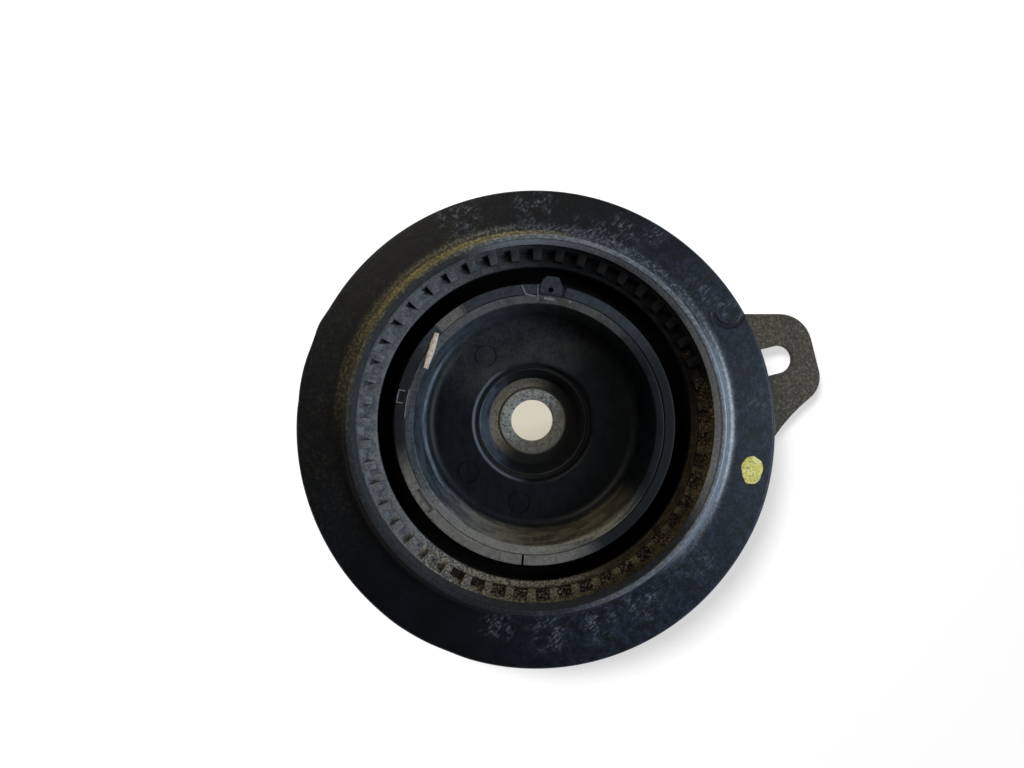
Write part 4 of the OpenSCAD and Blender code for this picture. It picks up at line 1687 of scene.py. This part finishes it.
@dataclass
class RimMarks:
    """Thin pale flash lines and scrapes that stand on the clip ring and the cup's rim."""

    thick: float = 0.12
    narrow: float = 0.7
    base_z: float = 33.01
    strokes: tuple[Stroke, ...] = (
        Stroke(((88.5, 38.0), (88.5, 43.1)), 0.3), Stroke(((95.1, 43.0), (93.7, 40.2), (89.4, 39.5)), 0.45),
        Stroke(((165.4, 41.0), (165.4, 42.9), (168.0, 42.9), (170.6, 42.9), (170.6, 41.0)), 0.4),
        Stroke(((85.6, 39.0), (83.0, 38.9), (80.8, 38.9)), 0.8), Stroke(((74.4, 39.3), (73.4, 39.3)), 0.8),
        along_rim(164, 177, 39.9), along_rim(209.5, 220, 39.9), along_rim(222.5, 237, 37.7))
    finish: PaleChip = PaleChip("grey_flash", rgb(104, 108, 112), rgb(58, 62, 66))

    def line(self, shell: Shell, stroke: Stroke) -> None:
        """Add one stroke as a thin closed strip that narrows to its upper face."""
        middle = [on_circle(seen(angle), radius, self.base_z) for angle, radius in stroke.points]
        rise = Vector((0, 0, self.thick))
        rows = []
        for i, point in enumerate(middle):
            along = middle[min(i + 1, len(middle) - 1)] - middle[max(i - 1, 0)]
            across = Vector((-along.y, along.x, 0)).normalized() * (stroke.width / 2)
            upper = self.narrow * across
            rows.append([point - across, point + across, point + upper + rise, point - upper + rise])
        shell.sweep(rows)

    def build(self) -> Thing:
        """Make all the strokes as one piece."""
        shell = Shell()
        for stroke in self.strokes:
            self.line(shell, stroke)
        piece = shell.piece("rim_marks", self.finish, angle=30.0)
        return hand_over(piece, Body.MOUNT, Slot.CUP)


@dataclass(frozen=True)
class SoftLight:
    """A square soft light, placed by an angle of the view and a rise over the floor, in metres and watts."""

    name: str
    angle: float
    rise: float
    distance: float
    size: float
    power: float
    tint: tuple[float, float, float]
    reach: Reach = Reach.PART

    def build(self, floor: Thing) -> Thing:
        """Make the light, turned to the part, and link it to the floor or to all but the floor."""
        lamp = bpy.data.lights.new(self.name, "AREA")
        lamp.energy = self.power
        lamp.size = self.size
        lamp.color = self.tint
        made = bpy.data.objects.new(self.name, lamp)
        flat = self.distance * math.cos(math.radians(self.rise))
        made.location = on_circle(seen(self.angle), flat, self.distance * math.sin(math.radians(self.rise)))
        made.rotation_euler = (-made.location).to_track_quat("-Z", "Y").to_euler()
        bpy.context.scene.collection.objects.link(made)
        linked = bpy.data.collections.new(f"{self.name}_reach")
        linked.objects.link(floor)
        made.light_linking.receiver_collection = linked
        linked.collection_objects[0].light_linking.link_state = self.reach.value
        return made


@dataclass
class Studio:
    """Floor, surroundings, lights and the camera over the part."""

    floor_half: float = 6.0
    floor_z: float = -0.05
    cream_r: float = 24.0
    cream_soft: float = 4.0
    dim_angle: float = 105.0
    dim_soft: float = 7.0
    white: Colour = (0.6, 0.6, 0.6, 1.0)
    cream: Colour = rgb(211, 205, 188)
    dim: Colour = rgb(198, 192, 175)
    black: Colour = (0.0, 0.0, 0.0, 1.0)
    floor_colour: Colour = (0.62, 0.62, 0.62, 1.0)
    ceiling: Colour = (0.06, 0.063, 0.07, 1.0)
    horizon: Colour = (0.72, 0.73, 0.75, 1.0)
    horizon_band: tuple[float, float] = (0.1, 0.4)
    camera_at: tuple[float, float, float] = (-13.83, -3.63, 269.0)
    lens: float = 27.02
    sensor: float = 36.0
    nearest: float = 0.01
    lights: tuple[SoftLight, ...] = (
        SoftLight("window", -4.0, 40.0, 1.0, 0.5, 9.6, (0.74, 0.88, 1.0)),
        SoftLight("lamp", 128.0, 50.0, 1.0, 0.2, 2.8, (1.0, 0.9, 0.7)),
        SoftLight("bounce", 85.0, 62.0, 1.3, 0.8, 1.2, (0.95, 0.97, 1.0)),
        SoftLight("floor_lamp", 135.0, 64.0, 1.0, 0.22, 7.6, (1.0, 1.0, 1.0), Reach.FLOOR))

    def floor(self) -> Thing:
        """Pale floor that looks white and still takes the part's shadow, with a cream patch under the part
        that glows in painted light and shade.
        """
        half = self.floor_half / MM
        sides = (-half, half)
        shell = Shell().sweep([[Vector((x, y, self.floor_z)) for y in sides] for x in sides], closed=False)
        piece = shell.object("studio_floor")
        shader = Shader("floor_paper")
        rays = shader.make("ShaderNodeLightPath", {}, {}).socket.node.outputs
        kinds = ("Camera", "Glossy", "Transmission")
        camera, glossy, through = (Wire(shader, rays[f"Is {kind} Ray"]) for kind in kinds)
        shown = camera.most(glossy).most(through)
        paper = shader.step(shader.radius, self.cream_r - self.cream_soft, self.cream_r)
        # Painted light and shade in the cream patch: bright on the side towards dim_angle, dim on the far
        # side.
        lit = shader.step(shader.toward(self.dim_angle), -self.dim_soft, 0.0)
        tone = shader.mix(paper, shader.mix(lit, self.dim, self.cream), self.white)
        glow = shader.make("ShaderNodeEmission", {}, {"Color": shader.mix(shown, self.black, tone)})
        ground = shader.mix(paper, self.black, self.floor_colour)
        matte = shader.make("ShaderNodeBsdfDiffuse", {}, {"Color": ground})
        both = shader.make("ShaderNodeAddShader", {}, {0: matte, 1: glow})
        shader.make("ShaderNodeOutputMaterial", {}, {"Surface": both})
        piece.data.materials.append(shader.material)
        return piece

    def world(self) -> None:
        """Dim room overhead with a pale band at the horizon."""
        world = bpy.data.worlds.new("studio")
        bpy.context.scene.world = world
        world.use_nodes = True
        graph = Graph(world.node_tree)
        way = graph.make("ShaderNodeTexCoord", {}, {}, "Generated")
        height = graph.parts(way)[2]
        tone = graph.mix(graph.step(height, *self.horizon_band), self.horizon, self.ceiling)
        sky = graph.make("ShaderNodeBackground", {}, {"Color": tone, "Strength": 1.0})
        graph.make("ShaderNodeOutputWorld", {}, {"Surface": sky})

    def camera(self) -> Thing:
        """Camera that looks straight down on the part, as the photograph does."""
        lens = bpy.data.cameras.new("camera")
        lens.lens = self.lens
        lens.sensor_width = self.sensor
        lens.clip_start = self.nearest
        made = bpy.data.objects.new("camera", lens)
        made.location = Vector(self.camera_at) * MM
        made.rotation_euler = (0, 0, math.radians(VIEW_TURN))
        bpy.context.scene.collection.objects.link(made)
        bpy.context.scene.camera = made
        return made

    def build(self) -> None:
        """Set the whole studio up."""
        bpy.context.scene.view_settings.view_transform = "Standard"
        self.camera()
        floor = self.floor()
        self.world()
        for light in self.lights:
            light.build(floor)
        LOG.info("studio: %d lights", len(self.lights))


def main() -> None:
    """Load the frame, make every piece and set up the studio."""
    logging.basicConfig(level=logging.INFO, format="%(name)s: %(message)s")
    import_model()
    Studio().build()
    pattern = RoundTheAxis()
    seat = SpringSeat()
    SpringPad().build()
    seat.build(pattern)
    ToothSoil(seat).build(Scatter())
    BumpCup().build()
    ClipRing().build()
    RodHub().build()
    Bearing().build(pattern)
    steel = PlateSteel("coated_plate_steel")
    race = BearingSteel("bearing_steel")
    seal = CoreRubber("seal_rubber")
    for part in (PressedPart("top_plate", Body.MOUNT, Slot.PLATE, steel),
                 PressedPart("closing_plate", Body.MOUNT, Slot.PLATE, steel),
                 PressedPart("mount_race", Body.MOUNT, Slot.RACE, race),
                 PressedPart("seat_race", Body.SEAT, Slot.RACE, race),
                 PressedPart("ball_cage", Body.CAGE, Slot.CAGE, CagePlastic("cage_nylon")),
                 PressedPart("inner_seal", Body.SEAT, Slot.RUBBER, seal),
                 PressedPart("outer_seal", Body.SEAT, Slot.RUBBER, seal)):
        part.build()
    PaintDab().build()
    RimChip().build()
    RimMarks().build()


if __name__ == "__main__":
    main()
